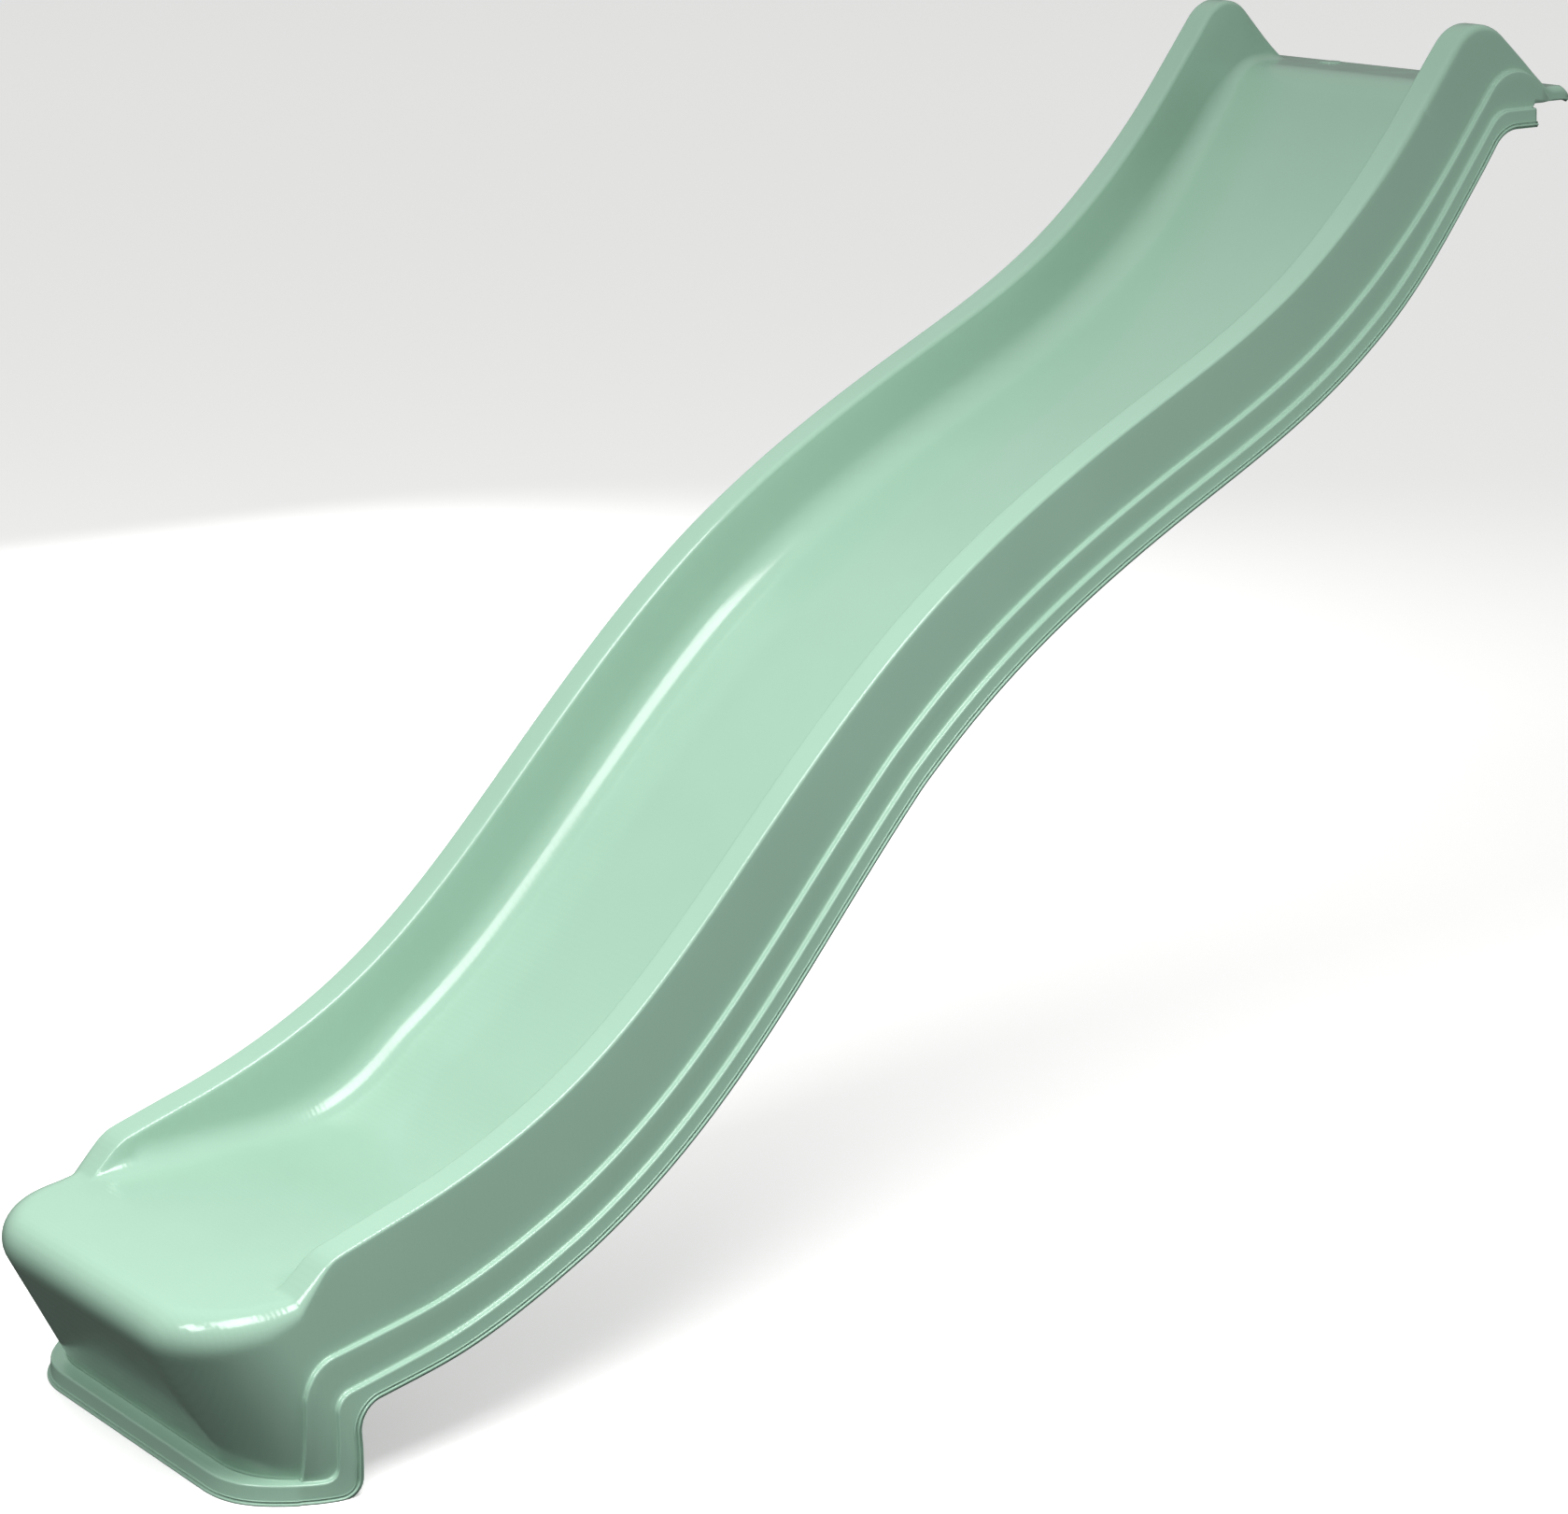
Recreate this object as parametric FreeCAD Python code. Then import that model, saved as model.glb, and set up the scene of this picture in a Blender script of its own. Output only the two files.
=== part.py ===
import FreeCAD, Part
import math
import os

# Wavy slide chute for a play tower: one blow-moulded HDPE shell that is open underneath, and the
# screws, washers and cover caps that hold its top lip on the platform.
# Millimetres. X runs from the foot to the platform, Y is across, Z is up from the ground. The
# drawing is set out from a line on the ground near the foot and is centred when it is exported.

# ---- overall sizes
PLATFORM_HEIGHT = 1200.0      # top of the platform that the lip rests on
LIP_REAR_X = 1848.0           # rear tip of the lip, from the drawing's foot line
CHUTE_WIDTH = 424.0           # across the outer edges of the two rims
WALL = 4.5                    # thickness of the moulded skin

# ---- cross section, depths measured square to the rim line
RIM_WIDTH = 36.0
RIM_OUTER_RADIUS = 4.0
RIM_INNER_RADIUS = 6.0
CHUTE_DEPTH = 85.0
BED_CORNER_RADIUS = 40.0
OUTER_DRAFT = math.tan(math.radians(5.5))
INNER_DRAFT = math.tan(math.radians(8.0))
TOP_INNER_DRAFT = math.tan(math.radians(1.5))   # the channel's sides stand straighter at the ears
LEDGE = 6.0                   # how far each of the two side ledges steps out
LEDGE_1_DEPTH = 73.0
LEDGE_2_DEPTH = 102.0
SKIRT_DEPTH = 117.0
FOOT_LEDGE_1_EXTRA = 26.0     # the side bands grow deeper towards the foot
FOOT_LEDGE_2_EXTRA = 33.0
FOOT_SKIRT_EXTRA = 35.0
TOP_BAND_LOSS = 9.0           # and lose a little depth at the top
FOOT_GROWTH_LENGTH = 700.0
TOP_GROWTH_LENGTH = 200.0
BED_RISE_LENGTH = 230.0       # the bed sinks from the flat run-out to its full depth over this

# ---- wave of the rim line between the foot and the ears: shares of the run and of the rise
WAVE = ((0.1489, 0.0921), (0.3085, 0.2952), (0.4681, 0.5058), (0.6986, 0.6931), (0.8582, 0.8085))
FOOT_ANGLE = math.radians(14.5)
TOP_ANGLE = math.radians(50.6)
SECTIONS = 15

# ---- foot
FOOT_END_X = 190.0            # where the wave starts
FOOT_RIM_HEIGHT = 259.0
NOSE_HEIGHT = 202.0           # flat run-out
NOSE_FRONT_X = -58.0
FRONT_LEAN = math.radians(27.0)   # the front face leans in from the nose to the ground
NOSE_CORNER_RADIUS = 90.0
NOSE_ROLL_RADIUS = 30.0
RIM_END_X = 61.0              # where the side rims run out on the nose
RIM_END_TOP_X = 100.0
RIM_END_RADIUS = 16.0
SKIRT_HEEL_X = 105.0          # rear end of the ring that stands on the ground
SKIRT_HEEL_HEIGHT = 92.0
SKIRT_HEEL_RADIUS = 34.0
RING_FRONT_X = -5.0
RING_HEIGHT = 34.0
RING_LIP_HEIGHT = 16.0
RING_LIP_STEP = 9.0
BAND_1_FOOT_X = 57.0
BAND_1_FOOT_HEIGHT = 138.0
BAND_1_FOOT_RADIUS = 38.0
BAND_2_FOOT_X = 86.0
BAND_2_FOOT_HEIGHT = 104.0
BAND_2_FOOT_RADIUS = 20.0

# ---- ears and lip
LIP_THICKNESS = 16.0
LIP_LENGTH = 76.0             # rests on the platform, from its rear tip to the platform's edge
LIP_REAR_SLOPE = 16.0
RIM_TOP_SETBACK = 248.0       # end of the wave, ahead of the lip's rear tip
RIM_TOP_RISE = 4.0            # and above the platform
EAR_REAR_SETBACK = 45.0       # rear foot of each ear, ahead of the lip's rear tip
EAR_APEX_RADIUS = 50.0
EAR_REAR_ANGLE = math.radians(41.0)
EAR_REAR_RADIUS = 12.0
CREST_RADIUS = 70.0           # the bed rolls over on to the lip
NOTCH_DEPTH = 23.0            # side bands hang this far below the platform's top
NOTCH_RADIUS = 45.0
BAND_1_EAR_RADIUS = 50.0
BAND_1_REAR_INSET = 8.0
BAND_2_TOP_RADIUS = 35.0

# ---- fixings through the lip
SCREW_REAR_SETBACK = 34.0
SCREW_WALL_CLEARANCE = 56.0   # from the side of the channel to a screw's middle
SCREW_THREAD_RADIUS = 3.0
SCREW_NECK_RADIUS = 2.2       # plain neck between the head and the thread
SCREW_LENGTH = 45.0
SCREW_HEAD_RADIUS = 6.0
SCREW_HEAD_HEIGHT = 3.4
SCREW_DRIVE_RADIUS = 1.7
SCREW_DRIVE_DEPTH = 2.0
SCREW_POINT_LENGTH = 8.0
WASHER_RADIUS = 9.0
WASHER_THICKNESS = 1.6
HOLE_CLEARANCE = 0.4
RECESS_RADIUS = 12.0
RECESS_WALL = 3.0
CAP_CLEARANCE = 0.2
CAP_FLANGE_RADIUS = 13.5
CAP_FLANGE_THICKNESS = 1.4
CAP_SKIRT_DEPTH = 4.5
CAP_WALL = 1.6

HALF = CHUTE_WIDTH / 2.0
OVER = 40.0                   # how far cutting bodies run past what they cut
BROAD = CHUTE_WIDTH + 4.0 * OVER


def vec(x, y, z):
    return FreeCAD.Vector(x, y, z)


def rounded_wire(corners, place):
    """Closed wire through (u, v, radius) corners; place turns (u, v) into a point in space."""
    flat = [FreeCAD.Vector(u, v, 0) for u, v, _ in corners]
    edges = []
    ends = []
    count = len(corners)
    for i in range(count):
        here = flat[i]
        radius = corners[i][2]
        to_last = (flat[i - 1] - here).normalize()
        to_next = (flat[(i + 1) % count] - here).normalize()
        if radius <= 0:
            ends.append((here, None, here))
            continue
        half_angle = to_last.getAngle(to_next) / 2.0
        reach = radius / math.tan(half_angle)
        bisector = (to_last + to_next).normalize()
        middle = here + bisector * (radius / math.sin(half_angle) - radius)
        ends.append((here + to_last * reach, middle, here + to_next * reach))
    for i in range(count):
        start, middle, finish = ends[i]
        if middle is not None:
            points = [place(p.x, p.y) for p in (start, middle, finish)]
            edges.append(Part.Arc(*points).toShape())
        after = ends[(i + 1) % count][0]
        edges.append(Part.LineSegment(place(finish.x, finish.y), place(after.x, after.y)).toShape())
    return Part.Wire(edges)


def side_prism(corners):
    """Solid with the side outline (x, z, radius), running right across the slide."""
    wire = rounded_wire(corners, lambda x, z: vec(x, -BROAD / 2.0, z))
    return Part.Face(wire).extrude(vec(0, BROAD, 0))


def blend(distance, length):
    """1 at distance 0, falling smoothly to 0 at length."""
    share = min(max(distance / length, 0.0), 1.0)
    return 0.5 * (1.0 + math.cos(math.pi * share))


class Station:
    """A place on the rim line with the plane square to it."""

    def __init__(self, point, angle, from_foot, to_top):
        self.point = point
        self.angle = angle
        self.along = vec(math.cos(angle), 0, math.sin(angle))
        self.down = vec(math.sin(angle), 0, -math.cos(angle))
        growth = max(1.0 - from_foot / FOOT_GROWTH_LENGTH, 0.0)
        loss = TOP_BAND_LOSS * blend(to_top, TOP_GROWTH_LENGTH)
        self.ledge_1 = LEDGE_1_DEPTH + FOOT_LEDGE_1_EXTRA * growth
        self.ledge_2 = LEDGE_2_DEPTH + FOOT_LEDGE_2_EXTRA * growth - loss
        self.skirt = SKIRT_DEPTH + FOOT_SKIRT_EXTRA * growth - loss
        flat_depth = (FOOT_RIM_HEIGHT - NOSE_HEIGHT) / math.cos(FOOT_ANGLE)
        straighter = (INNER_DRAFT - TOP_INNER_DRAFT) * blend(to_top, TOP_GROWTH_LENGTH)
        self.inner_draft = INNER_DRAFT - straighter
        self.bed = CHUTE_DEPTH - (CHUTE_DEPTH - flat_depth) * blend(from_foot, BED_RISE_LENGTH)

    def place(self, y, depth):
        spot = self.point + self.down * depth
        return vec(spot.x, y, spot.z)

    def at(self, depth, along=0.0):
        """(x, z) of a point at a depth below the rim line, moved along it."""
        spot = self.point + self.down * depth + self.along * along
        return spot.x, spot.z


def wave_curve():
    start = vec(FOOT_END_X, 0, FOOT_RIM_HEIGHT)
    finish = vec(LIP_REAR_X - RIM_TOP_SETBACK, 0, PLATFORM_HEIGHT + RIM_TOP_RISE)
    reach = finish - start
    points = [start]
    for run_share, rise_share in WAVE:
        points.append(start + vec(reach.x * run_share, 0, reach.z * rise_share))
    points.append(finish)
    curve = Part.BSplineCurve()
    first = vec(math.cos(FOOT_ANGLE), 0, math.sin(FOOT_ANGLE))
    last = vec(math.cos(TOP_ANGLE), 0, math.sin(TOP_ANGLE))
    curve.interpolate(Points=points, InitialTangent=first, FinalTangent=last)
    return curve


def stations():
    curve = wave_curve()
    length = curve.length()
    result = []
    for i in range(SECTIONS):
        distance = length * i / (SECTIONS - 1)
        parameter = curve.parameterAtDistance(distance, curve.FirstParameter)
        tangent = curve.tangent(parameter)[0]
        angle = math.atan2(tangent.z, tangent.x)
        result.append(Station(curve.value(parameter), angle, distance, length - distance))
    return result


PLACES = stations()
FOOT = PLACES[0]
TOP = PLACES[-1]


def outer_y(depth, skin):
    return HALF + depth * OUTER_DRAFT - skin


def inner_y(place, depth, skin):
    return HALF - RIM_WIDTH - depth * place.inner_draft + skin


def section_corners(place, skin):
    """Filled cross section: (y, depth, radius). skin is 0 outside, WALL for the hollow inside."""
    bottom = place.skirt + (OVER if skin else 0.0)
    ledge_1 = place.ledge_1 + skin
    ledge_2 = place.ledge_2 + skin
    bed = place.bed + skin
    half = [
        (outer_y(bottom, skin) + 2 * LEDGE, bottom, 0),
        (outer_y(ledge_2, skin) + 2 * LEDGE, ledge_2, 0),
        (outer_y(ledge_2, skin) + LEDGE, ledge_2, 0),
        (outer_y(ledge_1, skin) + LEDGE, ledge_1, 0),
        (outer_y(ledge_1, skin), ledge_1, 0),
        (outer_y(skin, skin), skin, RIM_OUTER_RADIUS),
        (inner_y(place, skin, skin), skin, RIM_INNER_RADIUS),
        (inner_y(place, bed, skin), bed, BED_CORNER_RADIUS + skin),
    ]
    mirrored = [(-y, depth, radius) for y, depth, radius in reversed(half)]
    return half + mirrored


def run_body(skin):
    """The waving length of the chute."""
    wires = [rounded_wire(section_corners(p, skin), p.place) for p in PLACES]
    return Part.makeLoft(wires, True, False)


def side_wedge(place, widen, skin, length, upward):
    """Solid between the two drafted side walls, running straight on from a station."""
    high = -2.0 * OVER
    low = 2.0 * PLATFORM_HEIGHT / 3.0
    corners = [
        (outer_y(high, skin) + widen, high, 0),
        (outer_y(low, skin) + widen, low, 0),
        (-outer_y(low, skin) - widen, low, 0),
        (-outer_y(high, skin) - widen, high, 0),
    ]
    face = Part.Face(rounded_wire(corners, place.place))
    return face.extrude(place.along * (length if upward else -length))


def chute_cutter(place, skin, outline, length, upward):
    """Channel between the rims past the end of the wave; outline is the bed line seen from the side."""
    high = -3.0 * OVER
    low = place.bed + 2.0 * OVER
    corners = [
        (inner_y(place, high, skin), high, 0),
        (inner_y(place, low, skin), low, 0),
        (-inner_y(place, low, skin), low, 0),
        (-inner_y(place, high, skin), high, 0),
    ]
    face = Part.Face(rounded_wire(corners, place.place))
    channel = face.extrude(place.along * (length if upward else -length))
    channel = channel.common(side_prism(outline))
    return channel.makeFillet(BED_CORNER_RADIUS + skin, floor_edges(channel, place))


def floor_edges(channel, place):
    """Edges where the side walls of a channel meet its floor."""
    walls = []
    floors = []
    for face in channel.Faces:
        low_u, high_u, low_v, high_v = face.ParameterRange
        normal = face.normalAt((low_u + high_u) / 2.0, (low_v + high_v) / 2.0)
        is_end = abs(normal.dot(place.along)) > 0.95
        if abs(normal.y) > 0.9:
            walls.append(face)
        elif normal.z < -0.3 and not is_end:
            floors.append(face)
    wall_edges = [edge for face in walls for edge in face.Edges]
    found = []
    for face in floors:
        found += [edge for edge in face.Edges if any(edge.isSame(other) for other in wall_edges)]
    return found


def nose_block(skin):
    """Run-out and undercut front of the foot, with rounded corners."""
    lean = math.tan(FRONT_LEAN)
    inset = skin / math.cos(FRONT_LEAN)
    below = OVER if skin else 0.0
    rolled_away = NOSE_ROLL_RADIUS * (1.0 / math.tan((math.pi / 2.0 - FRONT_LEAN) / 2.0) - 1.0)
    corner_x = NOSE_FRONT_X - rolled_away
    back_x, back_z = FOOT.at(FOOT.skirt + below)
    top_x, top_z = FOOT.at((FOOT_RIM_HEIGHT - NOSE_HEIGHT + skin) / math.cos(FOOT_ANGLE))
    outline = [
        (corner_x + inset + skin * lean, NOSE_HEIGHT - skin, 0),
        (top_x, top_z, 0),
        (back_x, back_z, 0),
        (back_x, -below, 0),
        (corner_x + inset + (NOSE_HEIGHT + below) * lean, -below, 0),
    ]
    block = side_prism(outline).common(side_wedge(FOOT, 0.0, skin, FOOT_END_X * 2.0, False))
    corners = [e for e in block.Edges if is_front_corner(e)]
    block = block.makeFillet(NOSE_CORNER_RADIUS - skin, corners)
    roll = [e for e in block.Edges if is_nose_top_edge(e, skin)]
    return block.makeFillet(NOSE_ROLL_RADIUS - skin, roll)


def is_front_corner(edge):
    """True for the two edges where the front face meets the side walls."""
    low, high = sorted((vertex.Point for vertex in edge.Vertexes), key=lambda p: p.z)
    same_side = low.y * high.y > 0
    return same_side and high.z - low.z > NOSE_HEIGHT / 2.0 and high.x < RIM_END_X


def is_nose_top_edge(edge, skin):
    points = [vertex.Point for vertex in edge.Vertexes]
    level = all(abs(p.z - (NOSE_HEIGHT - skin)) < 0.01 for p in points)
    across_back = all(p.x > RIM_END_X for p in points) and abs(points[0].y - points[-1].y) > HALF
    return level and not across_back


def foot_rims(skin):
    """The two side rims on the nose, running out in a soft step."""
    back_x, back_z = FOOT.at(FOOT.bed + OVER)
    rim_x, rim_z = FOOT.at(skin)
    step_x, step_z = FOOT.at(skin, (RIM_END_TOP_X - FOOT_END_X) / math.cos(FOOT_ANGLE))
    outline = [
        (rim_x, rim_z, 0),
        (back_x, back_z, 0),
        (RIM_END_X + skin, back_z, 0),
        (RIM_END_X + skin, NOSE_HEIGHT - skin, RIM_END_RADIUS / 4.0),
        (step_x + skin, step_z, RIM_END_RADIUS),
    ]
    wedge = side_wedge(FOOT, 0.0, skin, FOOT_END_X, False)
    return side_prism(outline).common(wedge)


def skirt_opening():
    """Everything under the raised skirt, behind the heel of the foot."""
    back_x, back_z = FOOT.at(FOOT.skirt)
    outline = [
        (SKIRT_HEEL_X, -OVER, 0),
        (SKIRT_HEEL_X, SKIRT_HEEL_HEIGHT, SKIRT_HEEL_RADIUS),
        (back_x, back_z, 0),
        (back_x + 2.0 * OVER, back_z, 0),
        (back_x + 2.0 * OVER, -OVER, 0),
    ]
    return side_prism(outline)


def foot_band(skin, widen, ledge_depth, corner_x, corner_height, corner_radius):
    """Side band that turns down to the ground in front of the heel."""
    below = OVER if skin else 0.0
    line_x, line_z = FOOT.at(ledge_depth + skin)
    low_x, low_z = FOOT.at(FOOT.skirt + below)
    outline = [
        (corner_x + skin, -below, 0),
        (corner_x + skin, corner_height - skin, corner_radius),
        (line_x, line_z, 0),
        (low_x, low_z, 0),
        (low_x, -below, 0),
    ]
    return side_prism(outline).common(side_wedge(FOOT, widen, skin, FOOT_END_X * 2.0, False))


def ground_ring(skin, step, height):
    """One step of the flange that stands on the ground round the front of the foot."""
    below = OVER if skin else 0.0
    front = RING_FRONT_X + (RING_LIP_STEP + LEDGE - step) + skin
    outline = [
        (front, -below, 0),
        (front, height - skin, 0),
        (SKIRT_HEEL_X + below, height - skin, 0),
        (SKIRT_HEEL_X + below, -below, 0),
    ]
    ring = side_prism(outline).common(side_wedge(FOOT, step, skin, FOOT_END_X * 2.0, False))
    corners = [e for e in ring.Edges if is_ring_corner(e, front)]
    return ring.makeFillet(NOSE_CORNER_RADIUS + step - skin, corners)


def is_ring_corner(edge, front):
    points = [vertex.Point for vertex in edge.Vertexes]
    at_front = all(abs(p.x - front) < 0.01 for p in points)
    return at_front and points[0].y * points[-1].y > 0


def foot_body(skin):
    blocks = [
        nose_block(skin),
        foot_rims(skin),
        foot_band(skin, LEDGE, FOOT.ledge_1, BAND_1_FOOT_X, BAND_1_FOOT_HEIGHT, BAND_1_FOOT_RADIUS),
        foot_band(skin, 2 * LEDGE, FOOT.ledge_2, BAND_2_FOOT_X, BAND_2_FOOT_HEIGHT,
                  BAND_2_FOOT_RADIUS),
        ground_ring(skin, LEDGE, RING_HEIGHT),
        ground_ring(skin, RING_LIP_STEP + LEDGE, RING_LIP_HEIGHT),
    ]
    body = blocks[0].fuse(blocks[1:])
    floor_x, floor_z = FOOT.at((FOOT_RIM_HEIGHT - NOSE_HEIGHT + skin) / math.cos(FOOT_ANGLE))
    back_x, back_z = FOOT.at(0.0, OVER)
    bed_line = [
        (NOSE_FRONT_X - 2.0 * OVER, NOSE_HEIGHT - skin, 0),
        (floor_x + OVER, NOSE_HEIGHT - skin, 0),
        (back_x + OVER, back_z + OVER, 0),
        (NOSE_FRONT_X - 2.0 * OVER, back_z + OVER, 0),
    ]
    cutter = chute_cutter(FOOT, skin, bed_line, FOOT_END_X * 2.0, False)
    body = body.cut(cutter)
    return body if skin else body.cut(skirt_opening())


def lip_levels(skin):
    """Heights of the lip's top and of the platform, for the outside or for the hollow."""
    return PLATFORM_HEIGHT + LIP_THICKNESS - skin, PLATFORM_HEIGHT - (OVER if skin else 0.0)


def ear_rear_x(depth, height):
    """x where the ear's rear slope, moved in by a depth, comes down to a height."""
    foot_x = LIP_REAR_X - EAR_REAR_SETBACK
    above = height - (PLATFORM_HEIGHT + LIP_THICKNESS) + depth / math.cos(EAR_REAR_ANGLE)
    return foot_x - above / math.tan(EAR_REAR_ANGLE)


def ear_apex(start_x, start_z, rear_depth):
    """(x, z) where a line at the top slope meets the ear's rear slope moved in by a depth."""
    rise = math.tan(TOP_ANGLE)
    fall = math.tan(EAR_REAR_ANGLE)
    level_x = ear_rear_x(rear_depth, start_z)
    x = start_x + (level_x - start_x) * fall / (rise + fall)
    return x, start_z + rise * (x - start_x)


def top_side_body(skin):
    """Ears, lip and the ends of the side walls."""
    lip_z, bottom_z = lip_levels(skin)
    below = OVER if skin else 0.0
    start_x, start_z = TOP.at(skin)
    apex_x, apex_z = ear_apex(start_x, start_z, skin)
    low_x, low_z = TOP.at(TOP.skirt + below)
    edge_x = LIP_REAR_X - LIP_LENGTH
    rear_inset = skin * math.hypot(1.0, LIP_REAR_SLOPE / LIP_THICKNESS)
    outline = [
        (start_x, start_z, 0),
        (apex_x, apex_z, EAR_APEX_RADIUS - skin),
        (ear_rear_x(skin, lip_z), lip_z, EAR_REAR_RADIUS + skin),
        (LIP_REAR_X - LIP_REAR_SLOPE - rear_inset + skin, lip_z, 0),
        (LIP_REAR_X - rear_inset + below, bottom_z, 0),
    ]
    if skin:
        outline.append((low_x, bottom_z, 0))
    else:
        outline.append((edge_x, bottom_z, 0))
        outline.append((edge_x, PLATFORM_HEIGHT - NOTCH_DEPTH, 0))
        outline.append((low_x + NOTCH_RADIUS, PLATFORM_HEIGHT - NOTCH_DEPTH, NOTCH_RADIUS))
    outline.append((low_x, low_z, 0))
    return side_prism(outline).common(side_wedge(TOP, 0.0, skin, RIM_TOP_SETBACK * 2.0, True))


def ear_band(skin):
    """First side band, which follows the ear over and down to the lip."""
    below = OVER if skin else 0.0
    depth = TOP.ledge_1 + skin
    start_x, start_z = TOP.at(depth)
    low_x, low_z = TOP.at(TOP.skirt + below)
    edge_x = LIP_REAR_X - LIP_LENGTH
    rear_depth = BAND_1_REAR_INSET + skin
    apex_x, apex_z = ear_apex(start_x, start_z, rear_depth)
    outline = [
        (start_x, start_z, 0),
        (apex_x, apex_z, BAND_1_EAR_RADIUS - skin),
        (ear_rear_x(rear_depth, PLATFORM_HEIGHT - below), PLATFORM_HEIGHT - below, 0),
    ]
    if not skin:
        outline.append((edge_x, PLATFORM_HEIGHT, 0))
        outline.append((edge_x, PLATFORM_HEIGHT - NOTCH_DEPTH, 0))
        outline.append((low_x + NOTCH_RADIUS, PLATFORM_HEIGHT - NOTCH_DEPTH, NOTCH_RADIUS))
    outline.append((low_x, low_z, 0))
    return side_prism(outline).common(side_wedge(TOP, LEDGE, skin, RIM_TOP_SETBACK * 2.0, True))


def notch_band(skin):
    """Second side band, which levels out and ends at the platform's edge."""
    below = OVER if skin else 0.0
    start_x, start_z = TOP.at(TOP.ledge_2 + skin)
    low_x, low_z = TOP.at(TOP.skirt + below)
    level = PLATFORM_HEIGHT - WALL - skin
    corner_x = start_x + (level - start_z) / math.tan(TOP_ANGLE)
    end_x = LIP_REAR_X - LIP_LENGTH + below
    outline = [
        (start_x, start_z, 0),
        (corner_x, level, BAND_2_TOP_RADIUS + skin),
        (end_x, level, 0),
        (end_x, PLATFORM_HEIGHT - NOTCH_DEPTH - below, 0),
        (low_x + NOTCH_RADIUS, PLATFORM_HEIGHT - NOTCH_DEPTH - below, 0 if skin else NOTCH_RADIUS),
        (low_x, low_z, 0),
    ]
    wedge = side_wedge(TOP, 2 * LEDGE, skin, RIM_TOP_SETBACK * 2.0, True)
    return side_prism(outline).common(wedge)


def top_body(skin):
    lip_z = lip_levels(skin)[0]
    body = top_side_body(skin).fuse([ear_band(skin), notch_band(skin)])
    bed_x, bed_z = TOP.at(TOP.bed + skin)
    back_x, back_z = TOP.at(TOP.bed + skin, -OVER)
    crest_x = bed_x + (lip_z - bed_z) / math.tan(TOP_ANGLE)
    behind_x, behind_z = TOP.at(-4.0 * OVER, -OVER)
    high = behind_z + 4.0 * OVER
    bed_line = [
        (back_x, back_z, 0),
        (crest_x, lip_z, CREST_RADIUS + skin),
        (LIP_REAR_X + OVER, lip_z, 0),
        (LIP_REAR_X + OVER, high, 0),
        (behind_x, high, 0),
        (behind_x, behind_z, 0),
    ]
    cutter = chute_cutter(TOP, skin, bed_line, RIM_TOP_SETBACK * 2.0, True)
    return body.cut(cutter)


def screw_places():
    x = LIP_REAR_X - SCREW_REAR_SETBACK
    offset = vec(x, 0, PLATFORM_HEIGHT + LIP_THICKNESS) - TOP.point
    y = inner_y(TOP, offset.dot(TOP.down), 0.0) - SCREW_WALL_CLEARANCE
    return [(x, y), (x, -y)]


def upright(radius, bottom, height, spot):
    return Part.makeCylinder(radius, height, vec(spot[0], spot[1], bottom))


def filled_body(skin):
    """The whole moulding as a solid: its outside, or the hollow that its skin encloses."""
    body = run_body(skin).fuse([foot_body(skin), top_body(skin)])
    floor_z = PLATFORM_HEIGHT + RECESS_WALL
    for spot in screw_places():
        if skin:
            keep = upright(RECESS_RADIUS + RECESS_WALL, PLATFORM_HEIGHT - 2.0 * OVER, 3.0 * OVER, spot)
        else:
            keep = upright(RECESS_RADIUS, floor_z, 2.0 * OVER, spot)
        body = body.cut(keep)
    return body


def slide_shell():
    shell = filled_body(0.0).cut(filled_body(WALL))
    for spot in screw_places():
        hole = upright(SCREW_THREAD_RADIUS + HOLE_CLEARANCE, PLATFORM_HEIGHT - OVER, 2.0 * OVER, spot)
        shell = shell.cut(hole)
    return shell.removeSplitter()


def head_seat():
    return PLATFORM_HEIGHT + RECESS_WALL + WASHER_THICKNESS


def platform_screw(spot):
    seat = head_seat()
    tip = seat - SCREW_LENGTH
    thread_end = tip + SCREW_POINT_LENGTH
    neck = upright(SCREW_NECK_RADIUS, PLATFORM_HEIGHT, seat - PLATFORM_HEIGHT, spot)
    thread = upright(SCREW_THREAD_RADIUS, thread_end, PLATFORM_HEIGHT - thread_end, spot)
    point = Part.makeCone(0, SCREW_THREAD_RADIUS, SCREW_POINT_LENGTH, vec(spot[0], spot[1], tip))
    head = upright(SCREW_HEAD_RADIUS, seat, SCREW_HEAD_HEIGHT, spot)
    rim = [e for e in head.Edges if e.BoundBox.ZMin > seat + SCREW_HEAD_HEIGHT / 2.0]
    head = head.makeFillet(SCREW_HEAD_HEIGHT / 3.0, [e for e in rim if e.BoundBox.ZLength < 0.01])
    drive = upright(SCREW_DRIVE_RADIUS, seat + SCREW_HEAD_HEIGHT - SCREW_DRIVE_DEPTH,
                    SCREW_HEAD_HEIGHT, spot)
    return thread.fuse([neck, point, head]).cut(drive).removeSplitter()


def screw_washer(spot):
    base = PLATFORM_HEIGHT + RECESS_WALL
    disc = upright(WASHER_RADIUS, base, WASHER_THICKNESS, spot)
    return disc.cut(upright(SCREW_THREAD_RADIUS + HOLE_CLEARANCE, base, WASHER_THICKNESS, spot))


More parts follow.
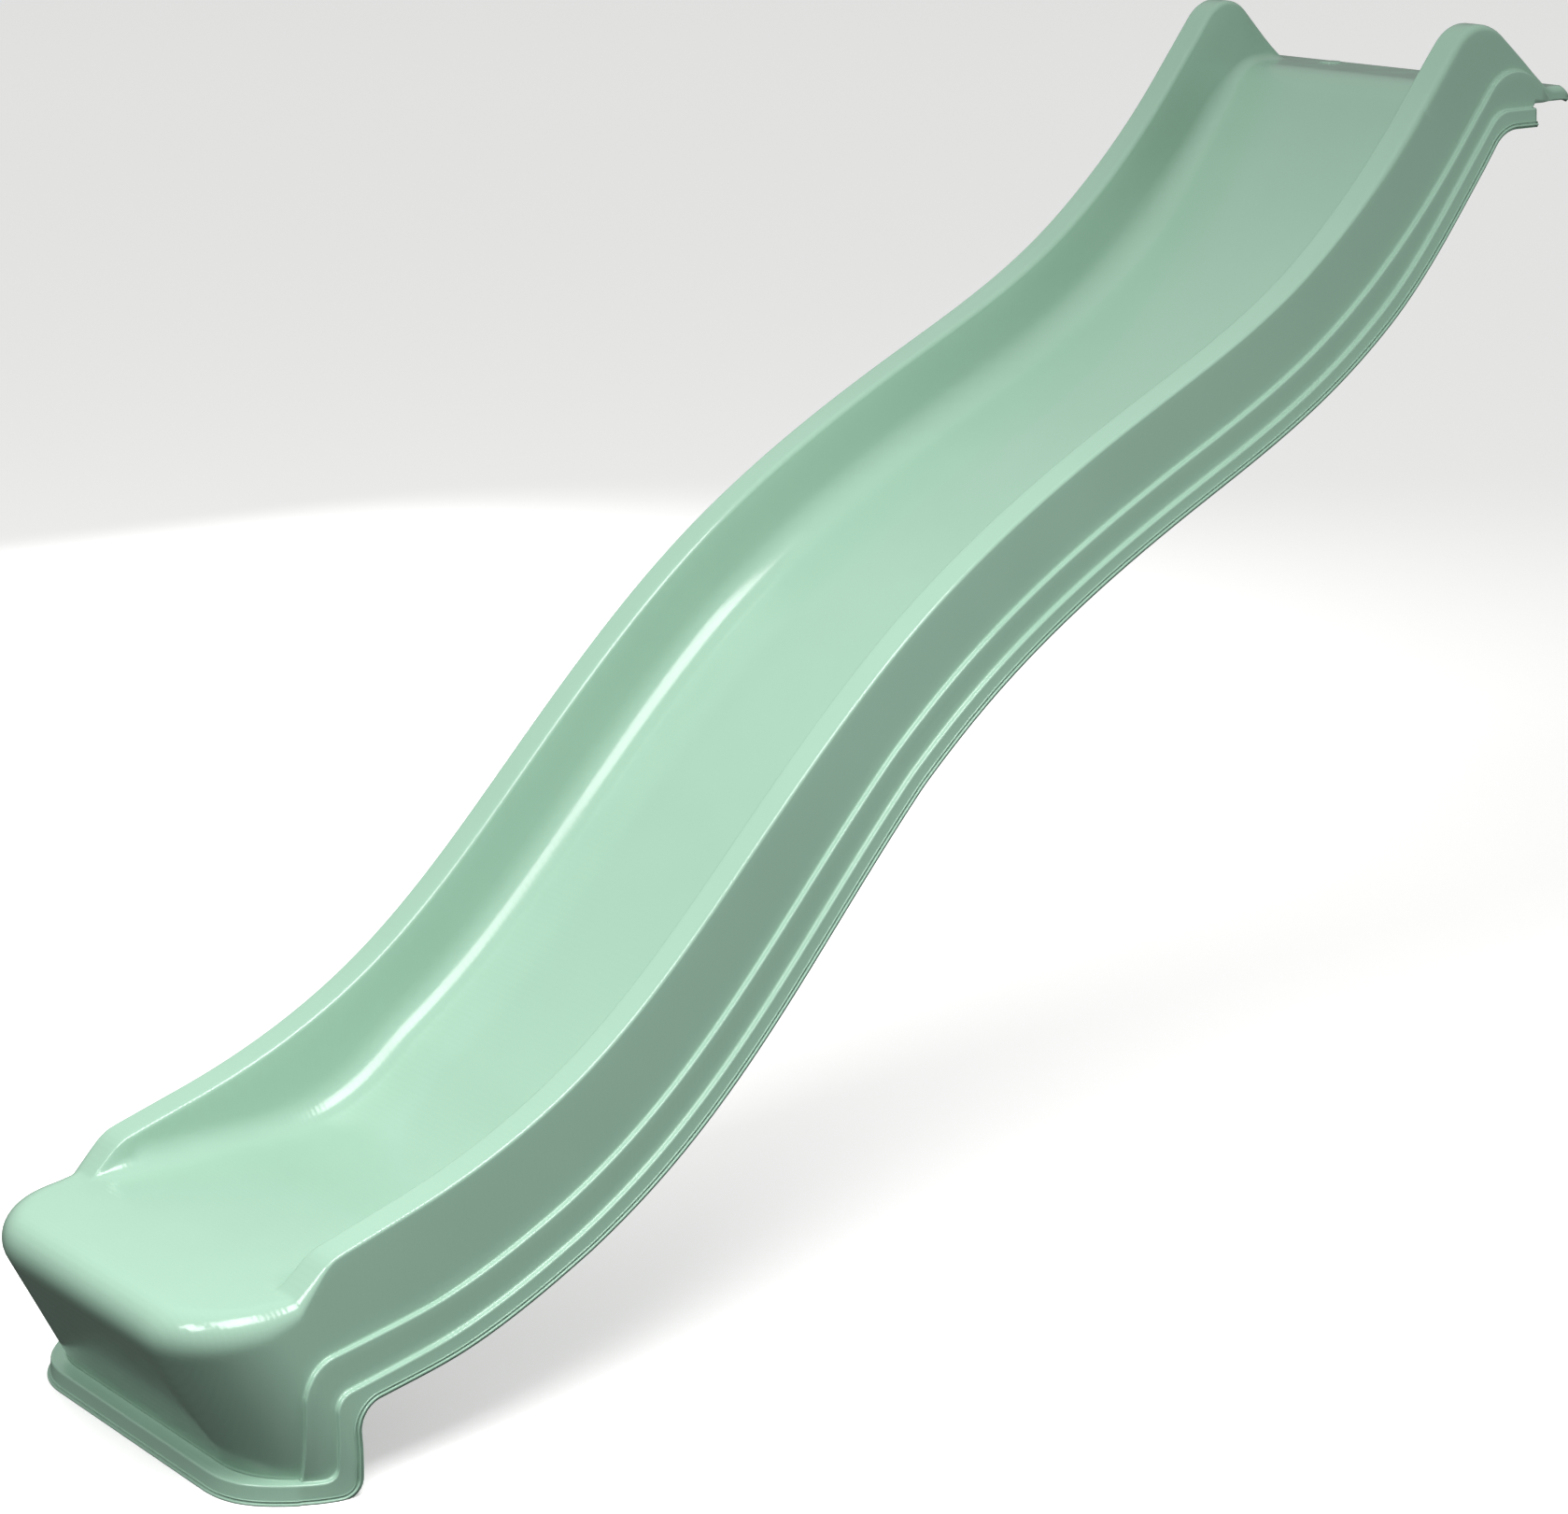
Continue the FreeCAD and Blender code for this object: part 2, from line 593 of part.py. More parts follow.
def screw_cap(spot):
    top = PLATFORM_HEIGHT + LIP_THICKNESS
    flange = upright(CAP_FLANGE_RADIUS, top, CAP_FLANGE_THICKNESS, spot)
    upper = [e for e in flange.Edges if e.BoundBox.ZMin > top + CAP_FLANGE_THICKNESS / 2.0]
    flange = flange.makeFillet(CAP_FLANGE_THICKNESS / 2.0, upper)
    radius = RECESS_RADIUS - CAP_CLEARANCE
    skirt = upright(radius, top - CAP_SKIRT_DEPTH, CAP_SKIRT_DEPTH, spot)
    bore = upright(radius - CAP_WALL, top - CAP_SKIRT_DEPTH, CAP_SKIRT_DEPTH, spot)
    return flange.fuse(skirt.cut(bore)).removeSplitter()


def export(name, shape, centre_x):
    shape.translate(vec(-centre_x, 0, 0))
    shape.exportStep("parts/" + name + ".step")
    box = shape.optimalBoundingBox(False)
    print(name, shape.isValid(), len(shape.Solids), round(shape.Volume / 1000.0, 1), "cm3",
          [round(v, 1) for v in (box.XMin, box.YMin, box.ZMin, box.XMax, box.YMax, box.ZMax)])


def main():
    os.makedirs("parts", exist_ok=True)
    shell = slide_shell()
    centre_x = shell.optimalBoundingBox(False).Center.x
    spots = screw_places()
    export("slide_shell", shell, centre_x)
    export("platform_screws", Part.makeCompound([platform_screw(s) for s in spots]), centre_x)
    export("screw_washers", Part.makeCompound([screw_washer(s) for s in spots]), centre_x)
    export("screw_caps", Part.makeCompound([screw_cap(s) for s in spots]), centre_x)


main()
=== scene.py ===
import logging
import math
from dataclasses import dataclass
from typing import Callable

import bmesh
import bpy
import numpy as np
from mathutils import Matrix, Vector


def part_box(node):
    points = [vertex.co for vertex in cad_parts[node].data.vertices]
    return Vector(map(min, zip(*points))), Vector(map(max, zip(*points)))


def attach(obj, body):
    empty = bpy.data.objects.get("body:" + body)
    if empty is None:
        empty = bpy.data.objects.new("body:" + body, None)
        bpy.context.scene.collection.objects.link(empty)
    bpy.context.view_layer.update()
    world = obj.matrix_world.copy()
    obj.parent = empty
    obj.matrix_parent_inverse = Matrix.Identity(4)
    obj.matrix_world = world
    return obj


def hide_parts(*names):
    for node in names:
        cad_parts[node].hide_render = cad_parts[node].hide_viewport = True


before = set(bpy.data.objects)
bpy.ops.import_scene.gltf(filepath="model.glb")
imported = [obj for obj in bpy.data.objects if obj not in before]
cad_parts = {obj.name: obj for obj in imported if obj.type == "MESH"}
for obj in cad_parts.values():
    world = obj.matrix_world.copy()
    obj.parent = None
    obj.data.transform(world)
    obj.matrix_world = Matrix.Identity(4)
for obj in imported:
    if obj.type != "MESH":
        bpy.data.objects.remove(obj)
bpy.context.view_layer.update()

LOG = logging.getLogger("slide")
MM = 0.001
LINE_STEP = 0.8     # spacing of points on the foot's lines, in millimetres
DENSE = 260         # points on a profile before it is thinned
TURN_SHARE = 0.62   # how far the thinned points follow bends rather than length
Array = np.ndarray


# ------------------------------------------------------------------ curves and small shape tools

def smooth_step(start: float, end: float, value: Array) -> Array:
    """Eases from 0 at start to 1 at end.

    Args:
        start: Value where the result is 0.
        end: Value where the result is 1.
        value: Value or values to ease.

    Returns:
        The eased share, the same shape as value.
    """
    share = np.clip((np.asarray(value, float) - start) / (end - start), 0.0, 1.0)
    return share * share * (3.0 - 2.0 * share)


def rounded_line(corners: list[tuple[float, float, float]], step: float = 1.0) -> Array:
    """A line through corners in a plane, each rounded with its own radius.

    Args:
        corners: (u, v, radius) in millimetres. The radius of the two ends is not used.
        step: Spacing of the points in millimetres.

    Returns:
        Points, one row each, spaced about a step apart.
    """
    flat = [np.array(c[:2], float) for c in corners]
    knots = [flat[0]]
    for last, here, after, radius in zip(flat, flat[1:], flat[2:], [c[2] for c in corners[1:]]):
        back = (last - here) / np.linalg.norm(last - here)
        ahead = (after - here) / np.linalg.norm(after - here)
        half = math.acos(float(np.clip(back @ ahead, -1.0, 1.0))) / 2.0
        if radius <= 0.0 or half > math.pi / 2.0 - 1e-3:
            knots.append(here)
            continue
        reach = radius / math.tan(half)
        centre = here + (back + ahead) / np.linalg.norm(back + ahead) * radius / math.sin(half)
        first = here + back * reach - centre
        turn = math.pi - 2.0 * half
        side = math.copysign(1.0, float(back[0] * ahead[1] - back[1] * ahead[0]))
        count = max(int(radius * turn / step), 6)
        for share in np.linspace(0.0, 1.0, count + 1):
            angle = -side * turn * share
            c, s = math.cos(angle), math.sin(angle)
            knots.append(centre + np.array([c * first[0] - s * first[1],
                                            s * first[0] + c * first[1]]))
    knots.append(flat[-1])
    return even_points(np.array(knots), step)


def even_points(points: Array, step: float) -> Array:
    """The same line with extra points wherever two are more than a step apart.

    Args:
        points: (n, 2) line.
        step: Largest spacing wanted.

    Returns:
        (m, 2) line.
    """
    result = [points[0]]
    for a, b in zip(points, points[1:]):
        count = max(int(np.linalg.norm(b - a) / step), 1)
        result += [a + (b - a) * i / count for i in range(1, count + 1)]
    return np.array(result)


def travelled(line: Array) -> Array:
    """Distance along a line at each of its points.

    Args:
        line: (n, dimensions) line.

    Returns:
        (n,) distances, from 0.
    """
    return np.concatenate([[0.0], np.cumsum(np.linalg.norm(np.diff(line, axis=0), axis=1))])


def unit(ways: Array) -> Array:
    """Directions of length 1.

    Args:
        ways: (..., dimensions) directions of any length.

    Returns:
        The same directions, made length 1.
    """
    return ways / np.maximum(np.linalg.norm(ways, axis=-1, keepdims=True), 1e-9)


def along(line: Array, shares: Array) -> Array:
    """Points on a line at shares of its length.

    Args:
        line: (n, dimensions) line.
        shares: Shares of the length, 0 to 1.

    Returns:
        (shares, dimensions) points.
    """
    lengths = travelled(line)
    wanted = np.asarray(shares, float) * lengths[-1]
    return np.stack([np.interp(wanted, lengths, line[:, k]) for k in range(line.shape[1])], axis=-1)


def spread(lines: Array, count: int, turn_share: float) -> Array:
    """Resamples each line so that its points gather where it bends.

    Args:
        lines: (rows, points, dimensions) dense lines.
        count: Points wanted on each line.
        turn_share: How much of the spacing follows bending; the rest follows length.

    Returns:
        (rows, count, dimensions) points that keep both ends of each line.
    """
    result = np.zeros((lines.shape[0], count, lines.shape[2]))
    for row, line in enumerate(lines):
        step = np.diff(line, axis=0)
        length = np.linalg.norm(step, axis=1)
        way = step / np.maximum(length, 1e-9)[:, None]
        bend = np.arccos(np.clip(np.sum(way[1:] * way[:-1], axis=1), -1.0, 1.0))
        bend = np.concatenate([[0.0], bend])
        bend = np.convolve(bend, np.ones(5) / 5.0, mode="same")
        weight = ((1.0 - turn_share) * length / length.sum()
                  + turn_share * bend / max(bend.sum(), 1e-9))
        place = np.concatenate([[0.0], np.cumsum(weight)])
        wanted = np.linspace(0.0, place[-1], count)
        for k in range(lines.shape[2]):
            result[row, :, k] = np.interp(wanted, place, line[:, k])
    return result


def corner_arc(before: Array, corner: Array, after: Array, reach: float, shares: Array) -> Array:
    """Soft corner on every row at once, a quadratic curve between two tangent points.

    Args:
        before: (rows, 3) points on the way in.
        corner: (rows, 3) sharp corners.
        after: (rows, 3) points on the way out.
        reach: Distance of the tangent points from the corner, in millimetres.
        shares: Where on the curve the points go, 0 to 1.

    Returns:
        (rows, shares, 3) points.
    """
    back, ahead = before - corner, after - corner
    back_length = np.linalg.norm(back, axis=1, keepdims=True)
    ahead_length = np.linalg.norm(ahead, axis=1, keepdims=True)
    start = corner + back / np.maximum(back_length, 1e-9) * np.minimum(reach, back_length * 0.45)
    end = corner + ahead / np.maximum(ahead_length, 1e-9) * np.minimum(reach, ahead_length * 0.45)
    t = np.asarray(shares, float)[None, :, None]
    return (start[:, None] * (1 - t) ** 2 + corner[:, None] * 2 * t * (1 - t) + end[:, None] * t ** 2)


def rolled(a: Array, way_a: Array, b: Array, way_b: Array, radius: Array) -> tuple[Array, Array]:
    """Rounded meeting of two surfaces, as a distance.

    Args:
        a: Distance outside the first surface, negative inside.
        way_a: Its outward direction, (..., 3).
        b: Distance outside the second surface.
        way_b: Its outward direction, (..., 3).
        radius: Radius of the rounding.

    Returns:
        The distance outside both, and the outward direction there.
    """
    across = np.sum(way_a * way_b, axis=-1)
    spare = np.maximum(1.0 - across ** 2, 1e-6)
    pa, pb = a + radius, b + radius
    share_a = (pa - pb * across) / spare
    share_b = (pb - pa * across) / spare
    round_here = (share_a > 0.0) & (share_b > 0.0)
    reach = np.sqrt(np.maximum((pa ** 2 + pb ** 2 - 2.0 * pa * pb * across) / spare, 1e-12))
    distance = np.where(round_here, reach - radius, np.maximum(a, b))
    mixed = way_a * share_a[..., None] + way_b * share_b[..., None]
    plain = np.where((a > b)[..., None], way_a, way_b)
    return distance, np.where(round_here[..., None], unit(mixed), plain)


# ------------------------------------------------------------------ sizes of the moulding

@dataclass(frozen=True)
class SlideSizes:
    """Sizes of the moulding in millimetres, from a line on the ground near the foot.

    Depths are square to the rim line. A radii pair is the lower and then the upper turn, and a
    turns row is the heel's x, its lower radius, and the height and radius of its upper turn.
    """

    platform: float = 1200.0
    lip_rear: float = 1848.0
    half_width: float = 212.0
    skin: float = 4.5
    rim_width: float = 36.0
    rim_outer_radius: float = 4.0
    ear_outer_radius: float = 9.0
    rim_inner_radius: float = 6.0
    bed_depth: float = 85.0
    bed_corner: float = 40.0
    foot_corner: float = 34.0
    top_corner: float = 26.0
    crest_corner: float = 12.0
    corner_growth: float = 200.0
    outer_draft: float = math.tan(math.radians(5.5))
    inner_draft: float = math.tan(math.radians(8.0))
    top_inner_draft: float = math.tan(math.radians(1.5))
    ledge: float = 6.0
    ledge_1: float = 73.0
    ledge_2: float = 102.0
    skirt: float = 117.0
    foot_extra: tuple[float, float, float] = (26.0, 33.0, 35.0)
    fan_depths: tuple[float, float, float] = (91.0, 128.3, 143.8)
    top_loss: float = 9.0
    foot_growth: float = 700.0
    top_growth: float = 200.0
    bed_rise: float = 230.0
    foot_end: float = 190.0
    foot_rim: float = 259.0
    nose_top: float = 202.0
    nose_front: float = -58.0
    front_lean: float = math.radians(27.0)
    nose_corner: float = 90.0
    nose_roll: float = 30.0
    nose_roll_end: float = 20.0
    rim_end: float = 61.0
    rim_end_top: float = 100.0
    rim_end_radii: tuple[float, float] = (9.0, 55.0)
    ring_front_end: float = 30.0
    fan_end: float = 105.0
    rise_top: float = 109.0
    foot_front: float = 57.0
    first_turn: tuple[float, float] = (138.0, 40.0)
    second_turns: tuple[float, float, float, float] = (86.0, 12.0, 104.0, 20.0)
    trim_turns: tuple[float, float, float, float] = (104.0, 17.0, 92.0, 34.0)
    foot_angle: float = math.radians(14.5)
    top_angle: float = math.radians(50.6)
    top_point: tuple[float, float] = (1600.0, 1204.0)
    lip: float = 16.0
    lip_flat: float = 12.0
    lip_slope: float = 16.0
    lip_soft_edge: float = 5.0
    lip_plan_corner: float = 14.0
    ear_foot: float = 45.0
    ear_fall: float = math.radians(41.0)
    ear_radii: tuple[float, float] = (50.0, 14.0)
    ear_band_inset: float = 8.0
    ear_opening: float = 10.0
    crest_radius: float = 70.0
    notch: float = 76.0
    notch_radius: float = 35.0
    notch_trim: tuple[float, float, float] = (33.0, 21.5, 45.0)
    notch_share: float = 0.78
    ring_ledge: float = 20.0
    ring_front_width: float = 19.0
    ring_splay: float = 1.5
    lip_flare: float = 3.0
    lip_edge: float = 2.4
    trim_softness: tuple[float, float] = (1.6, 0.8)
    wave: tuple[tuple[float, float], ...] = (
        (0.1489, 0.0921), (0.3085, 0.2952), (0.4681, 0.5058), (0.6986, 0.6931), (0.8582, 0.8085))


class WaveLine:
    """The rim line between the foot and the ears, a smooth curve through the wave's points."""

    def __init__(self, sizes: SlideSizes) -> None:
        """Fits the curve and measures it.

        Args:
            sizes: Sizes of the moulding.
        """
        start = np.array([sizes.foot_end, sizes.foot_rim])
        end = np.array(sizes.top_point)
        knots = np.array([start] + [start + (end - start) * np.array(w) for w in sizes.wave] + [end])
        chord = travelled(knots)
        first = np.array([math.cos(sizes.foot_angle), math.sin(sizes.foot_angle)])
        last = np.array([math.cos(sizes.top_angle), math.sin(sizes.top_angle)])
        slopes = self._slopes(chord, knots, first, last)
        fine = np.linspace(0.0, chord[-1], 1200)
        cell = np.clip(np.searchsorted(chord, fine, side="right") - 1, 0, len(chord) - 2)
        gap = chord[cell + 1] - chord[cell]
        t = ((fine - chord[cell]) / gap)[:, None]
        gap = gap[:, None]
        self.points = ((2 * t**3 - 3 * t**2 + 1) * knots[cell]
                       + (t**3 - 2 * t**2 + t) * gap * slopes[cell]
                       + (3 * t**2 - 2 * t**3) * knots[cell + 1]
                       + (t**3 - t**2) * gap * slopes[cell + 1])
        self.lengths = travelled(self.points)
        grads = np.gradient(self.points, axis=0)
        self.angles = np.arctan2(grads[:, 1], grads[:, 0])
        self.angles[0], self.angles[-1] = sizes.foot_angle, sizes.top_angle

    @staticmethod
    def _slopes(chord: Array, knots: Array, first: Array, last: Array) -> Array:
        """Slopes at the knots of the smooth curve with the given end directions.

        Args:
            chord: (n,) distance of each knot along the chords.
            knots: (n, 2) points on the curve.
            first: Direction at the first knot.
            last: Direction at the last knot.

        Returns:
            (n, 2) slopes.
        """
        count = len(chord)
        matrix = np.zeros((count, count))
        right = np.zeros((count, 2))
        matrix[0, 0] = matrix[-1, -1] = 1.0
        right[0], right[-1] = first, last
        for i in range(1, count - 1):
            before, after = chord[i] - chord[i - 1], chord[i + 1] - chord[i]
            matrix[i, i - 1], matrix[i, i], matrix[i, i + 1] = after, 2 * (before + after), before
            right[i] = 3 * (after * (knots[i] - knots[i - 1]) / before
                            + before * (knots[i + 1] - knots[i]) / after)
        return np.linalg.solve(matrix, right)

    def at(self, distances: Array) -> tuple[Array, Array]:
        """Points and angles at distances along the curve."""
        spot = np.stack([np.interp(distances, self.lengths, self.points[:, k]) for k in (0, 1)], -1)
        return spot, np.interp(distances, self.lengths, self.angles)


# ------------------------------------------------------------------ the moulding

@dataclass
class ShellBuilder:
    """Builds the skin of the slide as one welded mesh: channel, rims, ears, bands, skirt and ring.

    Rays at the foot start at ray_y and turn through ray_turn degrees; shallow is the foot
    profile's share of the bed's depth.
    """

    sizes: SlideSizes
    origin_x: float
    run_rows: int = 132
    fan_rows: int = 46
    ear_rows: int = 50
    lip_rows: int = 12
    taper_rows: int = 8
    outer_count: int = 22
    arc_shares: tuple[float, ...] = (0.0, 0.22, 0.5, 0.78, 1.0)
    fillet: float = 2.6
    front_fillet: float = 6.0
    rim_switch: float = 184.0
    rise_rows: int = 22
    ray_y: float = 186.0
    ray_reach: float = 260.0
    ray_turn: float = 104.0
    rays: int = 240
    shallow: float = 0.7

    def build(self) -> bpy.types.Object:
        """Makes the mesh.

        Returns:
            The skin with its wall thickness, not yet dressed.
        """
        self.wave = WaveLine(self.sizes)
        foot, upper = self.foot_grid(), self.upper_grid()
        half = {key: np.concatenate([foot[key], upper[key]]) for key in foot}
        self.soften_lines(half)
        return self.weld(self.full_surface(half), self.ring_strip(half))

    # ---- lines seen from the side

    def foot_lines(self) -> tuple[Array, Array, Array]:
        """Lines of the two ledges and of the trimmed edge where they turn down to the ground.

        Returns:
            (n, 2) points on each of the three lines, seen from the side.
        """
        s = self.sizes
        rim = np.array([s.fan_end, s.foot_rim - (s.foot_end - s.fan_end) * math.tan(s.foot_angle)])
        down = np.array([math.sin(s.foot_angle), -math.cos(s.foot_angle)])
        ends = [rim + down * depth for depth in s.fan_depths]
        lines = [rounded_line([(s.foot_front, s.ring_ledge, 0), (s.foot_front, *s.first_turn),
                               (*ends[0], 0)], LINE_STEP)]
        for low, turns, end in ((s.ring_ledge, s.second_turns, ends[1]),
                                (s.lip_edge, s.trim_turns, ends[2])):
            heel, low_radius, height, radius = turns
            lines.append(rounded_line([(s.foot_front, low, 0), (heel, low, low_radius),
                                       (heel, height, radius), (*end, 0)], LINE_STEP))
        return lines[0], lines[1], lines[2]

    def outer_y(self, depth: Array) -> Array:
        """Half width of the drafted side wall at a depth below the rim line."""
        return self.sizes.half_width + np.asarray(depth) * self.sizes.outer_draft

    def foot_depth(self, x: Array, z: Array) -> Array:
        """Depth below the rim line of the foot, carried straight on."""
        s = self.sizes
        return (x - s.foot_end) * math.sin(s.foot_angle) - (z - s.foot_rim) * math.cos(s.foot_angle)

    def top_depth(self, x: Array, z: Array) -> Array:
        """Depth below the rim line of the top, carried straight on."""
        s = self.sizes
        return ((x - s.top_point[0]) * math.sin(s.top_angle)
                - (z - s.top_point[1]) * math.cos(s.top_angle))

    # ---- channel profile

    def channel(self, depth: float, corner: float, inner_y: float, draft: float) -> Array:
        """Half profile of the channel from the middle of the bed out to the rim's top.

        Args:
            depth: Depth of the bed below the rim.
            corner: Radius between the bed and the side.
            inner_y: y of the rim's inner top edge.
            draft: Slope of the side.

        Returns:
            (columns, 2) y, and share of the depth: 1 on the bed and 0 on the rim.
        """
        s = self.sizes
        full = max(depth, corner * 1.15 + 1.0)
        low_y = inner_y - full * draft
        slope = math.atan(draft)
        reach = corner * math.tan((math.pi / 2.0 - slope) / 2.0)
        rim_reach = s.rim_inner_radius * math.tan((math.pi / 2.0 - slope) / 2.0)
        line = []
        for y in np.linspace(0.0, low_y - reach, 11):
            line.append((y, full))
        centre = (low_y - reach, full - corner)
        for angle in np.linspace(0.0, math.pi / 2.0 - slope, 10)[1:]:
            line.append((centre[0] + corner * math.sin(angle), centre[1] + corner * math.cos(angle)))
        top = (inner_y - rim_reach * math.sin(slope), rim_reach * math.cos(slope))
        last = line[-1]
        for share in (0.33, 0.66, 1.0):
            line.append((last[0] + (top[0] - last[0]) * share, last[1] + (top[1] - last[1]) * share))
        centre = (inner_y + rim_reach, s.rim_inner_radius)
        for angle in np.linspace(slope, math.pi / 2.0, 6)[1:]:
            line.append((centre[0] - s.rim_inner_radius * math.cos(angle),
                         centre[1] - s.rim_inner_radius * math.sin(angle)))
        line.append((max(self.rim_switch, inner_y + rim_reach + 1.0), 0.0))
        profile = np.array(line)
        profile[:, 1] /= full
        return profile

    # ---- foot

    def rim_rise(self, x: Array) -> Array:
        """Height of the side rims above the nose, which they sink into in an S.

        Args:
            x: Distances from the foot line.

        Returns:
            The heights.
        """
        s = self.sizes
        slope = math.tan(s.foot_angle)
        top = s.foot_rim - (s.foot_end - s.rim_end_top) * slope - s.nose_top
        before, beyond = -200, 400
        line = rounded_line([(before, 0, 0), (s.rim_end, 0, s.rim_end_radii[0]),
                             (s.rim_end_top, top, s.rim_end_radii[1]),
                             (beyond, top + (beyond - s.rim_end_top) * slope, 0)], 1.0)
        return np.interp(x, line[:, 0], line[:, 1])

    def outside(self, x: Array, y: Array, z: Array, share: Array) -> Array:
        """Distance outside the foot's outer form.

        Args:
            x: Distance from the foot line.
            y: Distance from the middle.
            z: Height.
            share: 1 where the rim stands at its full height, 0 on the bed.

        Returns:
            The distance, negative inside.
        """
        s = self.sizes
        draft = math.atan(s.outer_draft)
        lean = s.front_lean
        ones = np.ones(np.broadcast(x, y, z).shape)
        side = (np.abs(y) - self.outer_y(self.foot_depth(x, z))) * math.cos(draft)
        way_side = np.array([-math.sin(draft) * math.sin(s.foot_angle), math.cos(draft),
                             math.sin(draft) * math.cos(s.foot_angle)])
        rolled_away = s.nose_roll * (1.0 / math.tan((math.pi / 2.0 - lean) / 2.0) - 1.0)
        corner_x = s.nose_front - rolled_away
        front = (corner_x + (s.nose_top - z) * math.tan(lean) - x) * math.cos(lean)
        way_front = np.array([-math.cos(lean), 0.0, -math.sin(lean)])
        walls, way_walls = rolled(side * ones, way_side * ones[..., None], front * ones,
                                  way_front * ones[..., None], s.nose_corner)
        top = (z - s.nose_top - self.rim_rise(x) * share) * ones
        way_top = np.array([0.0, 0.0, 1.0]) * ones[..., None]
        soft = s.rim_outer_radius + (s.nose_roll - s.rim_outer_radius) * (
            1.0 - smooth_step(s.nose_roll_end, s.fan_end + 5.0, x))
        return rolled(walls, way_walls, top, way_top, soft * ones)[0]

    def last_inside(self, position: Callable[[Array], Array], reach: float,
                    samples: int = 150) -> Array:
        """Outermost crossing of the foot's form along rays.

        Args:
            position: Function that turns a distance along every ray into its form distance.
            reach: Length of the rays.
            samples: First samples along each.

        Returns:
            Distance of the crossing on each ray.
        """
        grid = np.linspace(0.0, reach, samples)
        values = np.stack([position(g) for g in grid], axis=-1)
        inside = values < 0.0
        last = samples - 1 - np.argmax(inside[..., ::-1], axis=-1)
        last = np.clip(last, 0, samples - 2)
        low, high = grid[last], grid[last + 1]
        for _ in range(18):
            middle = (low + high) / 2.0
            is_in = position(middle) < 0.0
            low = np.where(is_in, middle, low)
            high = np.where(is_in, high, middle)
        return (low + high) / 2.0

    def foot_grid(self) -> dict[str, Array]:
        """Rows of the foot: up the front, over the nose and back to where the run begins.

        Returns:
            Arrays of points in space for each part of the row.
        """
        s = self.sizes
        first, second, trim = self.foot_lines()
        split = s.rise_top
        lift = s.ring_ledge + self.front_fillet
        heights = np.concatenate([[s.ring_ledge, s.ring_ledge + 1.0, s.ring_ledge + 3.0],
                                  np.linspace(lift, split, self.rise_rows - 2)[:-1]])
        rise = np.stack([np.full(len(heights), first[0, 0]), heights], -1)
        fan_line = first[first[:, 1] >= split - 1e-6]
        fan_line = np.concatenate([[[first[0, 0], split]], fan_line])
        turns = np.linspace(0.0, 1.0, self.fan_rows)
        fan = along(fan_line, turns)
        start = np.concatenate([rise, fan])
        phi = np.concatenate([np.zeros(len(rise)), turns * (math.pi / 2.0 - s.foot_angle)])
        way = np.stack([-np.cos(phi), np.sin(phi)], -1)
        # the lower two lines are shared out as the first ledge is
        travel = travelled(start)
        share = travel / travel[-1]
        lower, bottom = along(second, share), along(trim, share)

        # rays from beside the rim find the outer wall, its rounded edge and the rim's top
        angles = np.radians(np.linspace(0.0, self.ray_turn, self.rays))
        y0, base = self.ray_y, self.fillet
        sx, sz = start[:, 0][:, None], start[:, 1][:, None]
        wx, wz = way[:, 0][:, None], way[:, 1][:, None]
        cos_a, sin_a = np.cos(angles)[None, :], np.sin(angles)[None, :]

        def outer_place(reach: Array) -> Array:
            """Distance outside the form at a reach along each ray."""
            t = base + reach * sin_a
            return self.outside(sx + wx * t, y0 + reach * cos_a, sz + wz * t, np.ones_like(t))

        reach = self.last_inside(outer_place, self.ray_reach)
        ys = y0 + reach * cos_a
        ts = base + reach * sin_a
        switch = self.rim_switch
        outer = np.zeros((len(start), DENSE, 2))
        for i in range(len(start)):
            keep = ys[i] >= switch
            t_switch = np.interp(-switch, -ys[i], ts[i])
            line_y = np.concatenate([ys[i][keep], [switch]])
            line_t = np.concatenate([ts[i][keep], [t_switch]])
            outer[i] = along(np.stack([line_y, line_t], -1), np.linspace(0.0, 1.0, DENSE))
        outer = spread(outer, self.outer_count, TURN_SHARE)

        profile = self.channel(s.bed_depth * self.shallow, s.foot_corner,
                               s.half_width - s.rim_width, s.inner_draft)
        py, pw = profile[:, 0][None, :], (1.0 - profile[:, 1])[None, :]

        def inner_place(t: Array) -> Array:
            """Distance outside the form at a height above the first ledge."""
            return self.outside(sx + wx * t, py + 0.0 * sx, sz + wz * t, pw + 0.0 * sx)

        inner_t = self.last_inside(inner_place, self.ray_reach)
        inner = np.stack([py + 0.0 * inner_t, inner_t], -1)
        rows = self.rows_to_space(start, way, outer, inner, lower, bottom, self.foot_depth)
        self.follow_wall(rows)
        return rows

    def rows_to_space(self, start: Array, way: Array, outer: Array, inner: Array, lower: Array,
                      bottom: Array, depth_of: Callable[[Array, Array], Array]
                      ) -> dict[str, Array]:
        """Turns rows given as (y, distance along the row's plane) into points in space.

        Args:
            start: (n, 2) where each row starts on the first ledge, seen from the side.
            way: (n, 2) direction of the row's plane, seen from the side.
            outer: (n, a, 2) y and distance, from the ledge up to the rim's top.
            inner: (n, b, 2) y and distance, from the middle of the bed to the rim's top.
            lower: (n, 2) second ledge line.
            bottom: (n, 2) trimmed edge line.
            depth_of: Function that gives depth below the rim line at (x, z).

        Returns:
            Arrays of points in space for each part of the row.
        """
        def lift(part: Array) -> Array:
            """Puts (y, distance) pairs in space.

            Args:
                part: (rows, columns, 2) pairs.

            Returns:
                (rows, columns, 3) points.
            """
            x = start[:, None, 0] + way[:, None, 0] * part[..., 1]
            z = start[:, None, 1] + way[:, None, 1] * part[..., 1]
            return np.stack([x, part[..., 0], z], -1)

